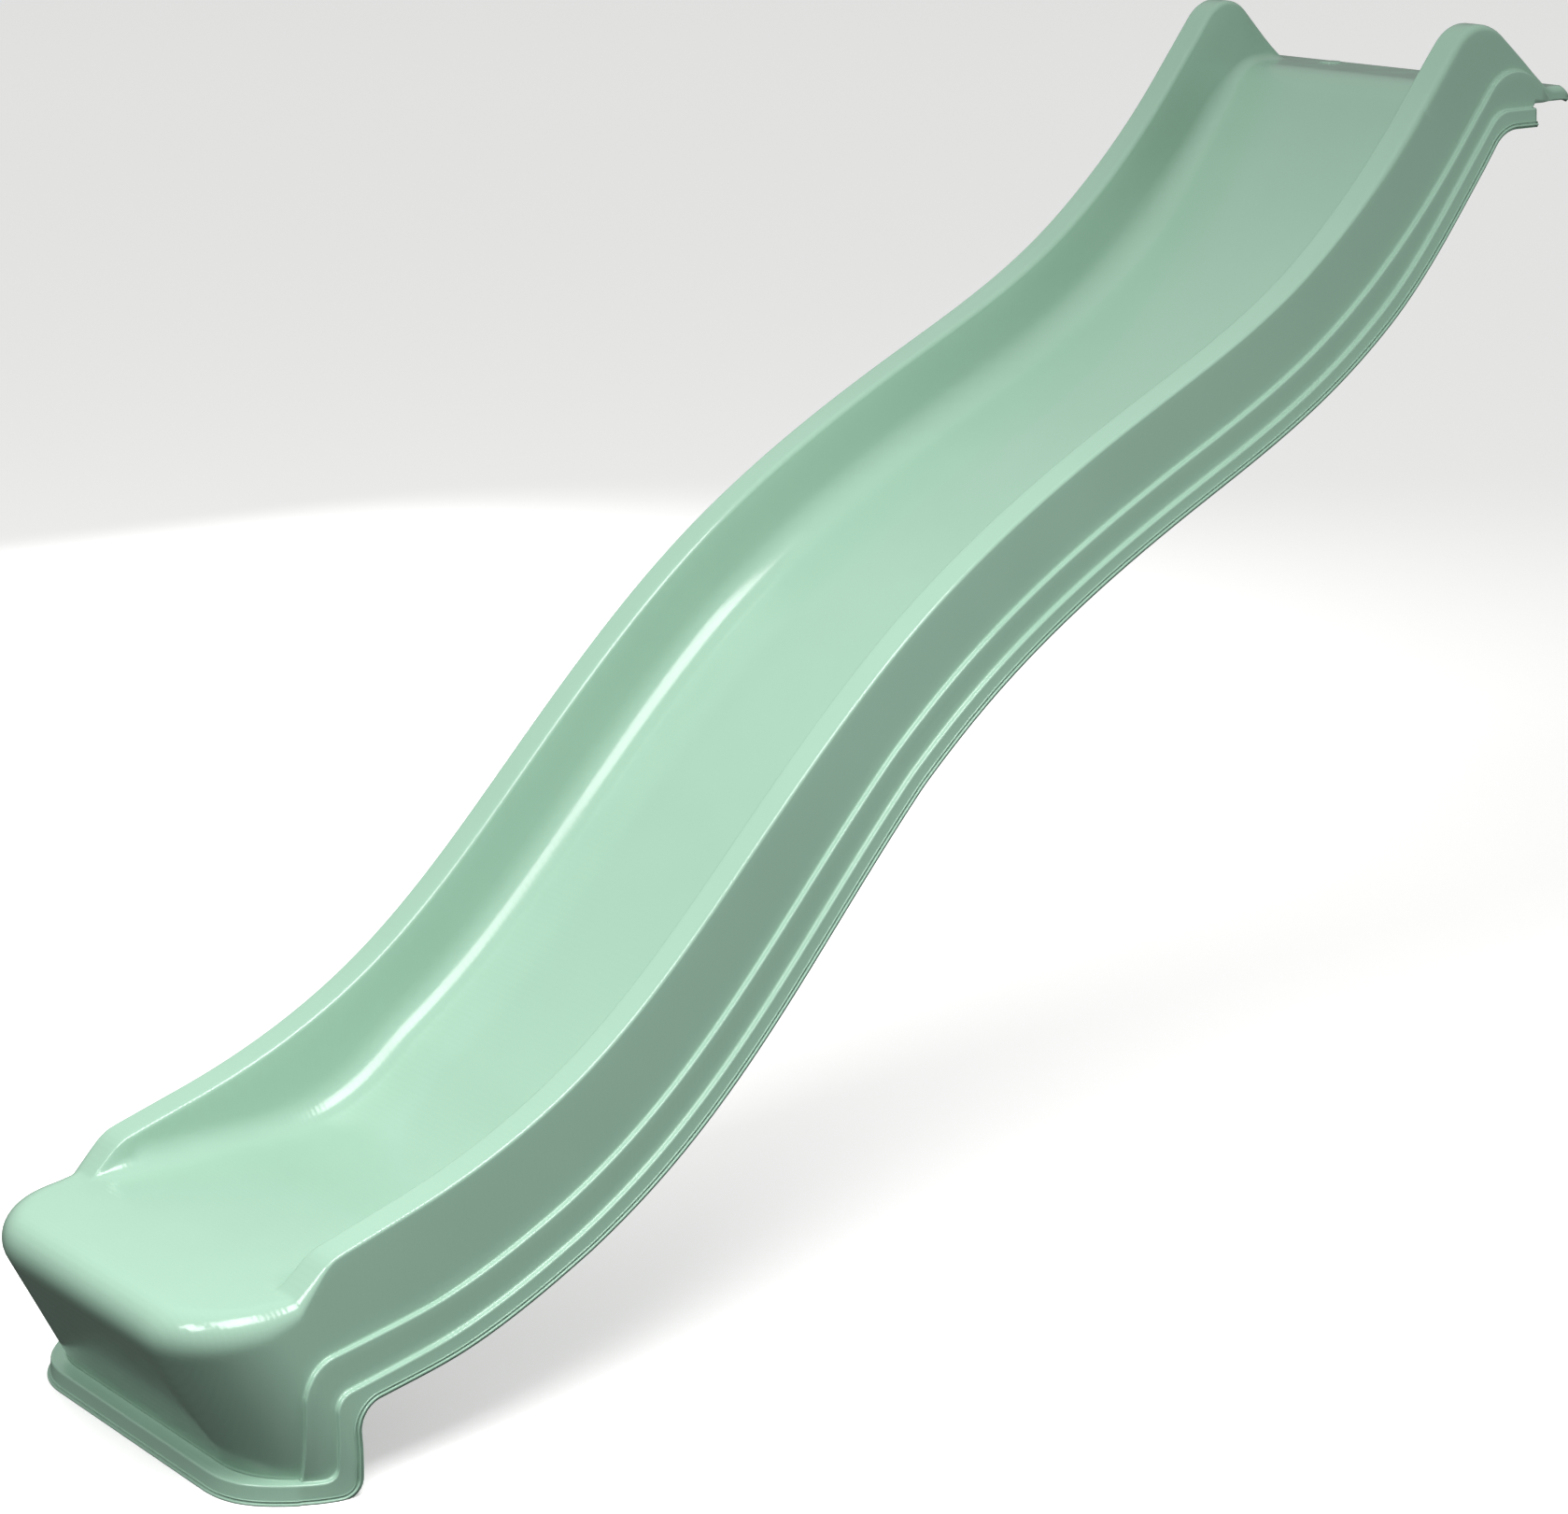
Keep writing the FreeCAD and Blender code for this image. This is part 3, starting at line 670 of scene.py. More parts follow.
        def side(line: Array) -> Array:
            """Puts a line on the drafted side wall.

            Args:
                line: (n, 2) points seen from the side.

            Returns:
                (n, 3) points.
            """
            y = self.outer_y(depth_of(line[:, 0], line[:, 1]))
            return np.stack([line[:, 0], y, line[:, 1]], -1)

        rows = {"inner": lift(inner), "outer": lift(outer), "first": side(start),
                "second": side(lower), "trim": side(bottom)}
        for key in ("first", "second", "trim"):
            rows[key + "_out"] = np.tile([0.0, 1.0, 0.0], (len(start), 1))
        return rows

    def follow_wall(self, rows: dict[str, Array]) -> None:
        """Puts the foot's side lines on its curved wall, with the wall's outward direction.

        Args:
            rows: The foot's rows, whose side lines are changed.
        """
        for key in ("first", "second", "trim"):
            line, step = rows[key], 0.5
            x, full = line[:, 0], np.ones(len(line))
            height = np.maximum(line[:, 2], self.sizes.ring_ledge)
            low, high = 60.0 * full, 300.0 * full
            for _ in range(30):
                middle = (low + high) / 2.0
                is_in = self.outside(x, middle, height, full) < 0.0
                low, high = np.where(is_in, middle, low), np.where(is_in, high, middle)
            line[:, 1] = low
            ahead = self.outside(x + step, low, height, full)
            across = self.outside(x, low + step, height, full)
            here = self.outside(x, low, height, full)
            way = np.stack([ahead - here, across - here, 0.0 * here], -1)
            rows[key + "_out"] = way / np.linalg.norm(way, axis=1, keepdims=True)

    # ---- run, ears and lip

    def upper_grid(self) -> dict[str, Array]:
        """Rows of the straight length behind the foot, the wave, the ears and the lip."""
        parts = [self.run_grid(), self.ear_grid(), self.lip_grid()]
        return {key: np.concatenate([p[key] for p in parts]) for key in parts[0]}

    def run_grid(self) -> dict[str, Array]:
        """Rows square to the rim line, from behind the fan to the end of the wave.

        Returns:
            Arrays of points in space for each part of the row.
        """
        s = self.sizes
        slope = math.tan(s.foot_angle)
        lead_x = np.linspace(s.fan_end, s.foot_end, 9)[1:-1]
        lead = np.stack([lead_x, s.foot_rim - (s.foot_end - lead_x) * slope], -1)
        distances = np.linspace(0.0, self.wave.lengths[-1], self.run_rows)
        spot, angle = self.wave.at(distances)
        rim = np.concatenate([lead, spot])
        angle = np.concatenate([np.full(len(lead), s.foot_angle), angle])
        down = np.stack([np.sin(angle), -np.cos(angle)], -1)
        from_foot = np.concatenate([(lead_x - s.foot_end) / math.cos(s.foot_angle), distances])
        to_top = self.wave.lengths[-1] - from_foot
        growth = np.clip(1.0 - from_foot / s.foot_growth, 0.0, 1.0)
        loss = s.top_loss * (1.0 - smooth_step(0.0, s.top_growth, to_top))
        lead_share = np.clip((rim[:, 0] - s.fan_end) / (s.foot_end - s.fan_end), 0.0, 1.0)
        depths = []
        plain = (s.ledge_1, s.ledge_2, s.skirt)
        for fan, base, extra, lost in zip(s.fan_depths, plain, s.foot_extra, (0.0, 1.0, 1.0)):
            full = base + extra * growth - lost * loss
            depths.append(fan + (full - fan) * lead_share)
        near_foot = 1.0 - smooth_step(0.0, s.bed_rise, from_foot)
        flat = (rim[:, 1] - s.nose_top) / np.cos(angle)
        bed = s.bed_depth * (1.0 - near_foot) + flat * near_foot
        straighter = 1.0 - smooth_step(0.0, s.top_growth, to_top)
        draft = s.inner_draft + (s.top_inner_draft - s.inner_draft) * straighter
        grown = smooth_step(0.0, s.corner_growth, from_foot)
        corner = s.foot_corner + (s.bed_corner - s.foot_corner) * grown
        corner = corner - (s.bed_corner - s.top_corner) * straighter
        radius = s.rim_outer_radius + (s.ear_outer_radius - s.rim_outer_radius) * straighter
        first = rim + down * depths[0][:, None]
        outer = self.plain_outer(depths[0], radius)
        inner = []
        for i in range(len(rim)):
            profile = self.channel(bed[i], corner[i], s.half_width - s.rim_width, draft[i])
            inner.append(np.stack([profile[:, 0], depths[0][i] - profile[:, 1] * bed[i]], -1))
        second = rim + down * depths[1][:, None]
        trim = rim + down * depths[2][:, None]
        rows = self.rows_to_space(first, -down, outer, np.array(inner), second, trim,
                                  lambda x, z: 0.0 * x)
        for key, depth in zip(("first", "second", "trim"), depths):
            rows[key][:, 1] = self.outer_y(depth)
        return rows

    def plain_outer(self, height: Array, radius: Array) -> Array:
        """Side wall, rounded top edge and rim top of rows.

        Args:
            height: How far each row's first ledge is below the rim.
            radius: Radius of each row's top edge.

        Returns:
            (rows, outer_count, 2) y and height above the ledge.
        """
        dense = []
        for h, r in zip(height, radius):
            low_y, top_y = self.outer_y(h), self.outer_y(0.0)
            line = rounded_line([(low_y, 0.0, 0), (top_y, h, r), (self.rim_switch, h, 0)], 0.5)
            share = np.clip(self.fillet / h, 0.0, 0.2)
            line = line[line[:, 1] >= self.fillet * (share > 0)]
            line = np.concatenate([[[low_y + (top_y - low_y) * share, h * share]], line])
            dense.append(along(line, np.linspace(0.0, 1.0, DENSE)))
        return spread(np.array(dense), self.outer_count, TURN_SHARE)

    def ear_lines(self) -> dict[str, Array]:
        """Lines of the ear, seen from the side.

        Returns:
            (n, 2) points on the rim, bed, first ledge, second ledge, lip edge and trimmed edge.
        """
        s = self.sizes
        tx, tz = s.top_point
        way = np.array([math.cos(s.top_angle), math.sin(s.top_angle)])
        down = np.array([way[1], -way[0]])
        lip_z = s.platform + s.lip
        foot_x = s.lip_rear - s.ear_foot
        fall = math.tan(s.ear_fall)
        rise = math.tan(s.top_angle)

        def apex(start: Array, inset: float) -> tuple[float, float]:
            """Where a line at the top slope meets the rear slope moved in by an inset.

            Args:
                start: A point on the line.
                inset: How far the rear slope is moved in.

            Returns:
                The corner, seen from the side.
            """
            shift = inset / math.cos(s.ear_fall)
            x = (lip_z - shift + fall * foot_x - start[1] + rise * start[0]) / (rise + fall)
            return float(x), float(start[1] + rise * (x - start[0]))

        top = np.array([tx, tz])
        first = top + down * s.ledge_1
        bed = top + down * s.bed_depth
        second = top + down * (s.ledge_2 - s.top_loss)
        trim = top + down * (s.skirt - s.top_loss)
        band_foot = foot_x + (lip_z - s.ear_band_inset / math.cos(s.ear_fall) - s.platform) / fall
        crest = bed[0] + (lip_z - bed[1]) / rise
        level = s.platform - s.skin
        notch = s.lip_rear - s.notch
        reach, fallen, trim_radius = s.notch_trim
        turn, foot_turn = s.ear_radii
        corners = {
            "rim": [(tx, tz, 0), (*apex(top, 0.0), turn), (foot_x, lip_z, foot_turn),
                    (foot_x + s.lip_flat, lip_z, 0)],
            "bed": [(*bed, 0), (crest, lip_z, s.crest_radius), (foot_x + s.lip_flat, lip_z, 0)],
            "first": [(*first, 0), (*apex(first, s.ear_band_inset), turn),
                      (band_foot, s.platform, 0)],
            "second": [(*second, 0), (second[0] + (level - second[1]) / rise, level,
                                      s.notch_radius), (notch, level, 0)],
            "edge": [(notch + 0.6, s.platform, 0), (band_foot, s.platform, 0)],
            "trim": [(*trim, 0), (trim[0] + reach, s.platform - fallen, trim_radius),
                     (notch, s.platform - fallen, 0)],
        }
        return {name: rounded_line(line) for name, line in corners.items()}

    def ear_grid(self) -> dict[str, Array]:
        """Rows that fan out over the ears down to the lip.

        Returns:
            Arrays of points in space for each part of the row.
        """
        lines = self.ear_lines()
        share = np.linspace(0.0, 1.0, self.ear_rows + 1)[1:]
        rim, bed = along(lines["rim"], share), along(lines["bed"], share)
        first = along(lines["first"], share)
        notch_share = self.sizes.notch_share
        before = (share <= notch_share)[:, None]
        to_notch = np.clip(share / notch_share, 0, 1)
        past = np.clip((share - notch_share) / (1 - notch_share), 0, 1)
        second = np.where(before, along(lines["second"], to_notch), along(lines["edge"], past))
        trim = np.where(before, along(lines["trim"], to_notch), second)
        self.notch_row = int(np.sum(before)) - 1
        return self.top_rows(rim, bed, first, second, trim, share)

    def lip_grid(self) -> dict[str, Array]:
        """Rows over the flat lip and down its rear slope.

        Returns:
            Arrays of points in space for each part of the row.
        """
        s = self.sizes
        lip_z = s.platform + s.lip
        start = s.lip_rear - s.ear_foot + s.lip_flat
        line = rounded_line([(start, lip_z, 0), (s.lip_rear - s.lip_slope, lip_z, s.lip_soft_edge),
                             (s.lip_rear, s.platform, 0)], 0.5)
        share = np.linspace(0.0, 1.0, self.lip_rows + 1)[1:]
        rim = along(line, share)
        edge_start = self.ear_lines()["first"][-1][0]
        edge = np.stack([np.linspace(edge_start + 1.0, s.lip_rear, len(share)),
                         np.full(len(share), s.platform)], -1)
        return self.top_rows(rim, rim, edge, edge, edge, np.ones(len(share)))

    def top_rows(self, rim: Array, bed: Array, first: Array, second: Array, trim: Array,
                 share: Array) -> dict[str, Array]:
        """Rows of the ears and lip in space, from their side lines.

        Args:
            rim: (n, 2) rim line.
            bed: (n, 2) bed line.
            first: (n, 2) first ledge line.
            second: (n, 2) second ledge line.
            trim: (n, 2) trimmed edge line.
            share: (n,) 0 at the end of the wave and 1 at the ear's rear foot.

        Returns:
            Arrays of points in space for each part of the row.
        """
        s = self.sizes
        half = s.half_width
        inner_edge = half - s.rim_width + s.ear_opening * smooth_step(0.2, 1.0, share)
        corner = s.top_corner + (s.crest_corner - s.top_corner) * smooth_step(0.0, 0.55, share)
        inner, outer = [], []
        for i in range(len(rim)):
            drop = rim[i] - bed[i]
            depth = float(np.linalg.norm(drop))
            profile = self.channel(max(depth, 30.0), corner[i], inner_edge[i], s.top_inner_draft)
            spot = rim[i][None, :] - drop[None, :] * profile[:, 1][:, None]
            inner.append(np.stack([spot[:, 0], profile[:, 0], spot[:, 1]], -1))
            wall = rim[i] - first[i]
            height = float(np.linalg.norm(wall))
            low_y = float(self.outer_y(self.top_depth(*first[i])))
            top_y = float(self.outer_y(self.top_depth(*rim[i])))
            end_y = float(profile[-1, 0])
            radius = min(s.ear_outer_radius, height * 0.5)
            shrink = self.rear_corner(rim[i][0])
            low_y, top_y = low_y - shrink, top_y - shrink
            if height < 0.5:
                flat = np.linspace(0.0, 1.0, self.outer_count)[:, None]
                outer.append(np.concatenate([np.full_like(flat, rim[i][0]),
                                             top_y + (end_y - top_y) * flat,
                                             np.full_like(flat, rim[i][1])], -1))
                continue
            line = rounded_line([(low_y, 0.0, 0), (top_y, height, radius), (end_y, height, 0)], 0.5)
            begin = min(self.fillet, height * 0.2)
            line = line[line[:, 1] >= begin]
            line = np.concatenate([[[low_y, begin]], line])
            line = along(line, np.linspace(0.0, 1.0, DENSE))
            line = spread(line[None], self.outer_count, TURN_SHARE)[0]
            unit = wall / height
            outer.append(np.stack([first[i][0] + unit[0] * line[:, 1], line[:, 0],
                                   first[i][1] + unit[1] * line[:, 1]], -1))

        def side(points: Array) -> Array:
            """Puts a line on the side wall, rounded in at the lip's rear corner.

            Args:
                points: (n, 2) points seen from the side.

            Returns:
                (n, 3) points.
            """
            y = self.outer_y(self.top_depth(points[:, 0], points[:, 1]))
            y = y - np.array([self.rear_corner(x) for x in points[:, 0]])
            return np.stack([points[:, 0], y, points[:, 1]], -1)

        rows = {"inner": np.array(inner), "outer": np.array(outer), "first": side(first),
                "second": side(second), "trim": side(trim)}
        for key in ("first", "second", "trim"):
            rows[key + "_out"] = np.tile([0.0, 1.0, 0.0], (len(rim), 1))
        return rows

    def rear_corner(self, x: float) -> float:
        """How far the lip's rear corners are rounded in, seen from above.

        Args:
            x: Distance from the foot line.

        Returns:
            The distance towards the middle.
        """
        radius = self.sizes.lip_plan_corner
        over = max(x - (self.sizes.lip_rear - radius), 0.0)
        return radius - math.sqrt(max(radius ** 2 - over ** 2, 0.0))

    # ---- bands, ring and mesh

    def soften_lines(self, half: dict[str, Array]) -> None:
        """Softens the small kinks where the foot's lines meet the run's.

        Args:
            half: Row parts of one side, whose side lines are changed.
        """
        first_run = self.fan_rows + self.rise_rows
        for key in ("first", "second", "trim", "first_out", "second_out", "trim_out"):
            line = half[key]
            low, high = first_run - 6, first_run + 18
            for _ in range(12):
                line[low:high] = 0.25 * (line[low - 1:high - 1] + line[low + 1:high + 1]) \
                    + 0.5 * line[low:high]

    def full_surface(self, half: dict[str, Array]) -> Array:
        """Channel, rims, side walls and first bands as one grid.

        Args:
            half: Row parts of one side.

        Returns:
            (rows, columns, 3) points across the whole slide.
        """
        s = self.sizes
        first, second = half["first"], half["second"]
        up = half["outer"][:, 0]
        shares = np.array(self.arc_shares)
        n_lip = self.lip_rows
        step = np.full((len(first), 1), s.ledge)
        step[-n_lip - self.taper_rows:-n_lip, 0] *= 1.0 - smooth_step(
            0.0, 1.0, np.linspace(0.0, 1.0, self.taper_rows))
        step[-n_lip:] = 0.0
        out = first + half["first_out"] * step
        band = second + half["second_out"] * step
        concave = corner_arc(up, first, out, self.fillet, shares[1:])
        convex = corner_arc(first, out, band, self.fillet * 0.9, shares)
        beyond = band + half["second_out"] * s.ledge
        wall_share = np.linspace(0.0, 1.0, 5)[1:-1][None, :, None]
        foot_arc = corner_arc(out, band, beyond, self.fillet, np.array([0.0, 0.25, 0.5]))
        edge_rows = slice(self.band_end(half), None)
        foot_arc[edge_rows] = band[edge_rows][:, None]
        wall = convex[:, -1:] + (foot_arc[:, :1] - convex[:, -1:]) * wall_share
        concave[-n_lip:] = up[-n_lip:][:, None]
        tail = [concave, convex, wall, foot_arc]
        strip = np.concatenate(tail, axis=1)
        strip[-n_lip:] = first[-n_lip:][:, None]
        side = np.concatenate([half["inner"], half["outer"][:, ::-1][:, 1:], strip], axis=1)
        side = self.ring_fillet(side, half)
        mirrored = side[:, :0:-1] * np.array([1.0, -1.0, 1.0])
        return np.concatenate([mirrored, side], axis=1)

    def band_end(self, half: dict[str, Array]) -> int:
        """First row past the notch, where the band's lower edge is the platform's level."""
        return len(half["first"]) - self.lip_rows - self.ear_rows + self.notch_row + 1

    def ring_fillet(self, side: Array, half: dict[str, Array]) -> Array:
        """Sweeps the lowest rows of the foot outwards into the ledge of the ground ring.

        Args:
            side: (rows, columns, 3) points of one side, which are changed.
            half: Row parts of that side.

        Returns:
            The points.
        """
        n_panel = half["inner"].shape[1] + half["outer"].shape[1] - 1
        base = side[0, :n_panel].copy()
        tangent = np.gradient(base[:, :2], axis=0)
        tangent = unit(tangent)
        normal = np.stack([-tangent[:, 1], tangent[:, 0]], -1)
        normal *= np.where((normal[:, 0] * -1.0 + normal[:, 1] * 0.2) < 0.0, -1.0, 1.0)[:, None]
        self.ring_normal = np.concatenate([normal, np.zeros((n_panel, 1))], axis=1)
        self.ring_base = base
        up = side[3, :n_panel] - base
        up /= np.linalg.norm(up, axis=1, keepdims=True)
        reach = self.fillet + (self.front_fillet - self.fillet) * smooth_step(
            self.sizes.rim_end, self.sizes.ring_front_end, base[:, 0])
        self.ring_reach = reach
        for row, t in ((0, 0.5), (1, 0.3), (2, 0.12)):
            lift = (1 - t) ** 2 * reach
            push = t ** 2 * reach
            side[row, :n_panel] = base + up * lift[:, None] + self.ring_normal * push[:, None]
        side[0, n_panel:] = side[0, n_panel - 1]
        side[1:3, n_panel:, 2] = np.maximum(side[1:3, n_panel:, 2], self.sizes.ring_ledge)
        return side

    def ring_strip(self, half: dict[str, Array]) -> Array:
        """Second ledge, skirt and trimmed lip, all the way round from notch to notch.

        Args:
            half: Row parts of one side.

        Returns:
            (rows, columns, 3) points.
        """
        s = self.sizes
        last = self.band_end(half)
        keys = ("first", "second", "trim", "first_out", "second_out", "trim_out")
        first, second, trim, first_out, second_out, trim_out = (half[k][:last] for k in keys)
        up = first + first_out * s.ledge
        inner = second + second_out * s.ledge
        outer = second + second_out * self.ring_width(second_out)
        bottom = trim + trim_out * self.ring_width(trim_out)
        side_rows = self.ring_profile(up, inner, outer, bottom, self.fillet)[1:]
        base, normal = self.ring_base, self.ring_normal
        width = self.ring_width(normal)
        raised = base + np.array([0.0, 0.0, 30.0])
        ring_outer = base + normal * width
        ring_bottom = ring_outer + normal * s.ring_splay
        ring_bottom[:, 2] = s.lip_edge
        rows = []
        for i in range(len(base)):
            pick = slice(i, i + 1)
            rows.append(self.ring_profile(raised[pick], base[pick], ring_outer[pick],
                                          ring_bottom[pick], float(self.ring_reach[i]))[0])
        front = np.array(rows)
        half_path = np.concatenate([front, side_rows])
        mirrored = half_path[:0:-1] * np.array([1.0, -1.0, 1.0])
        return np.concatenate([mirrored, half_path])

    def ring_width(self, way: Array) -> Array:
        """How far the skirt stands out from the wall: wider where the ring crosses the front.

        Args:
            way: (n, 3) outward directions of the wall.

        Returns:
            (n, 1) widths.
        """
        s = self.sizes
        wider = smooth_step(0.35, 1.0, way[:, :1] ** 2)
        return 2.0 * s.ledge + (s.ring_front_width - 2.0 * s.ledge) * wider

    def ring_profile(self, up: Array, inner: Array, outer: Array, bottom: Array,
                     reach: float) -> Array:
        """Profile of the ledge, skirt and trimmed lip on every row.

        Args:
            up: (n, 3) points on the wall above.
            inner: (n, 3) foot of that wall.
            outer: (n, 3) outer edge of the ledge.
            bottom: (n, 3) bottom of the skirt.
            reach: Size of the fillet at the foot of the wall.

        Returns:
            (n, columns, 3) points from the middle of that fillet to the lip's inner edge.
        """
        s = self.sizes
        soft, tip = s.trim_softness
        shares = np.array(self.arc_shares)
        out = outer - inner
        out[:, 2] = 0.0
        out = unit(out)
        down = unit(bottom - outer)
        flare = bottom + out * s.lip_flare
        edge = flare + down * s.lip_edge
        under = edge - out * (s.lip_flare + s.skin * 0.6)
        parts = [
            corner_arc(up, inner, outer, reach, np.array([0.5, 0.75, 1.0])),
            corner_arc(inner, outer, bottom, self.fillet * 0.9, shares),
            corner_arc(outer, bottom, flare, soft, np.array([0.0, 0.35, 0.7, 1.0])),
            corner_arc(bottom, flare, edge, tip, np.array([0.0, 0.5, 1.0])),
            corner_arc(flare, edge, under, tip, np.array([0.0, 0.5, 1.0])),
            under[:, None],
        ]
        return np.concatenate(parts, axis=1)

    def weld(self, *grids: Array) -> bpy.types.Object:
        """Joins grids of points into one mesh in metres and gives it its wall thickness.

        Args:
            grids: (rows, columns, 3) points in millimetres.

        Returns:
            The finished object.
        """
        verts, faces, base = [], [], 0
        for grid in grids:
            rows, columns = grid.shape[:2]
            verts.append(grid.reshape(-1, 3))
            index = np.arange(rows * columns).reshape(rows, columns) + base
            quads = np.stack([index[:-1, :-1], index[1:, :-1], index[1:, 1:], index[:-1, 1:]], -1)
            faces.append(quads.reshape(-1, 4))
            base += rows * columns
        points = np.concatenate(verts)
        points = (points - np.array([self.origin_x, 0.0, 0.0])) * MM
        points[:, 2] = np.maximum(points[:, 2], 0.0)
        mesh = bpy.data.meshes.new("slide_skin")
        mesh.from_pydata(points.tolist(), [], np.concatenate(faces).tolist())
        obj = added("slide_skin", mesh)
        shell = bmesh.new()
        shell.from_mesh(mesh)
        bmesh.ops.remove_doubles(shell, verts=shell.verts, dist=0.00002)
        bmesh.ops.dissolve_degenerate(shell, edges=shell.edges, dist=0.00001)
        bmesh.ops.recalc_face_normals(shell, faces=shell.faces)
        shell.faces.ensure_lookup_table()
        highest = max(shell.faces, key=lambda f: f.calc_center_median().z)
        if highest.normal.z < 0.0:
            bmesh.ops.reverse_faces(shell, faces=shell.faces)
        for face in shell.faces:
            face.smooth = True
        shell.to_mesh(mesh)
        shell.free()
        solid = obj.modifiers.new("wall", "SOLIDIFY")
        solid.thickness = self.sizes.skin * MM
        solid.offset = -1.0
        solid.use_even_offset = False
        walled = applied(obj, solid)
        for vertex in walled.vertices:
            vertex.co.z = max(vertex.co.z, 0.0)
        obj.data = walled
        return obj


# ------------------------------------------------------------------ objects and nodes

def added(name: str, data: bpy.types.ID) -> bpy.types.Object:
    """A new object in the scene.

    Args:
        name: Its name.
        data: Its mesh, lamp or camera data.

    Returns:
        The object.
    """
    obj = bpy.data.objects.new(name, data)
    bpy.context.scene.collection.objects.link(obj)
    return obj


def applied(obj: bpy.types.Object, modifier: bpy.types.Modifier) -> bpy.types.Mesh:
    """The plain mesh that an object's modifier makes; the modifier is then removed.

    Args:
        obj: The object.
        modifier: Its only modifier.

    Returns:
        The new mesh.
    """
    ready = obj.evaluated_get(bpy.context.evaluated_depsgraph_get())
    mesh = bpy.data.meshes.new_from_object(ready)
    obj.modifiers.remove(modifier)
    return mesh


def linear(code: str) -> tuple[float, float, float, float]:
    """Turns an sRGB hex colour into linear values.

    Args:
        code: Six hex digits.

    Returns:
        Red, green, blue and alpha.
    """
    parts = [int(code[i:i + 2], 16) / 255.0 for i in (0, 2, 4)]
    return (*[p / 12.92 if p <= 0.04045 else ((p + 0.055) / 1.055) ** 2.4 for p in parts], 1.0)


def node(tree: bpy.types.NodeTree, kind: str, settings: dict | None = None,
         values: dict | None = None, links: dict | None = None) -> bpy.types.Node:
    """Adds a node with its settings, socket values and links.

    Args:
        tree: Node tree to add to.
        kind: Node type.
        settings: Properties of the node.
        values: Input socket, by name or number, to its constant.
        links: Input socket, by name or number, to the output socket that feeds it.

    Returns:
        The node.
    """
    made = tree.nodes.new(kind)
    for name, value in (settings or {}).items():
        setattr(made, name, value)
    for socket, value in (values or {}).items():
        made.inputs[socket].default_value = value
    for socket, source in (links or {}).items():
        tree.links.new(source, made.inputs[socket])
    return made


# ------------------------------------------------------------------ finishes

def empty_material(name: str) -> bpy.types.Material:
    """A material whose node tree is empty.

    Args:
        name: Its name.

    Returns:
        The material.
    """
    made = bpy.data.materials.new(name)
    made.use_nodes = True
    made.node_tree.nodes.clear()
    return made


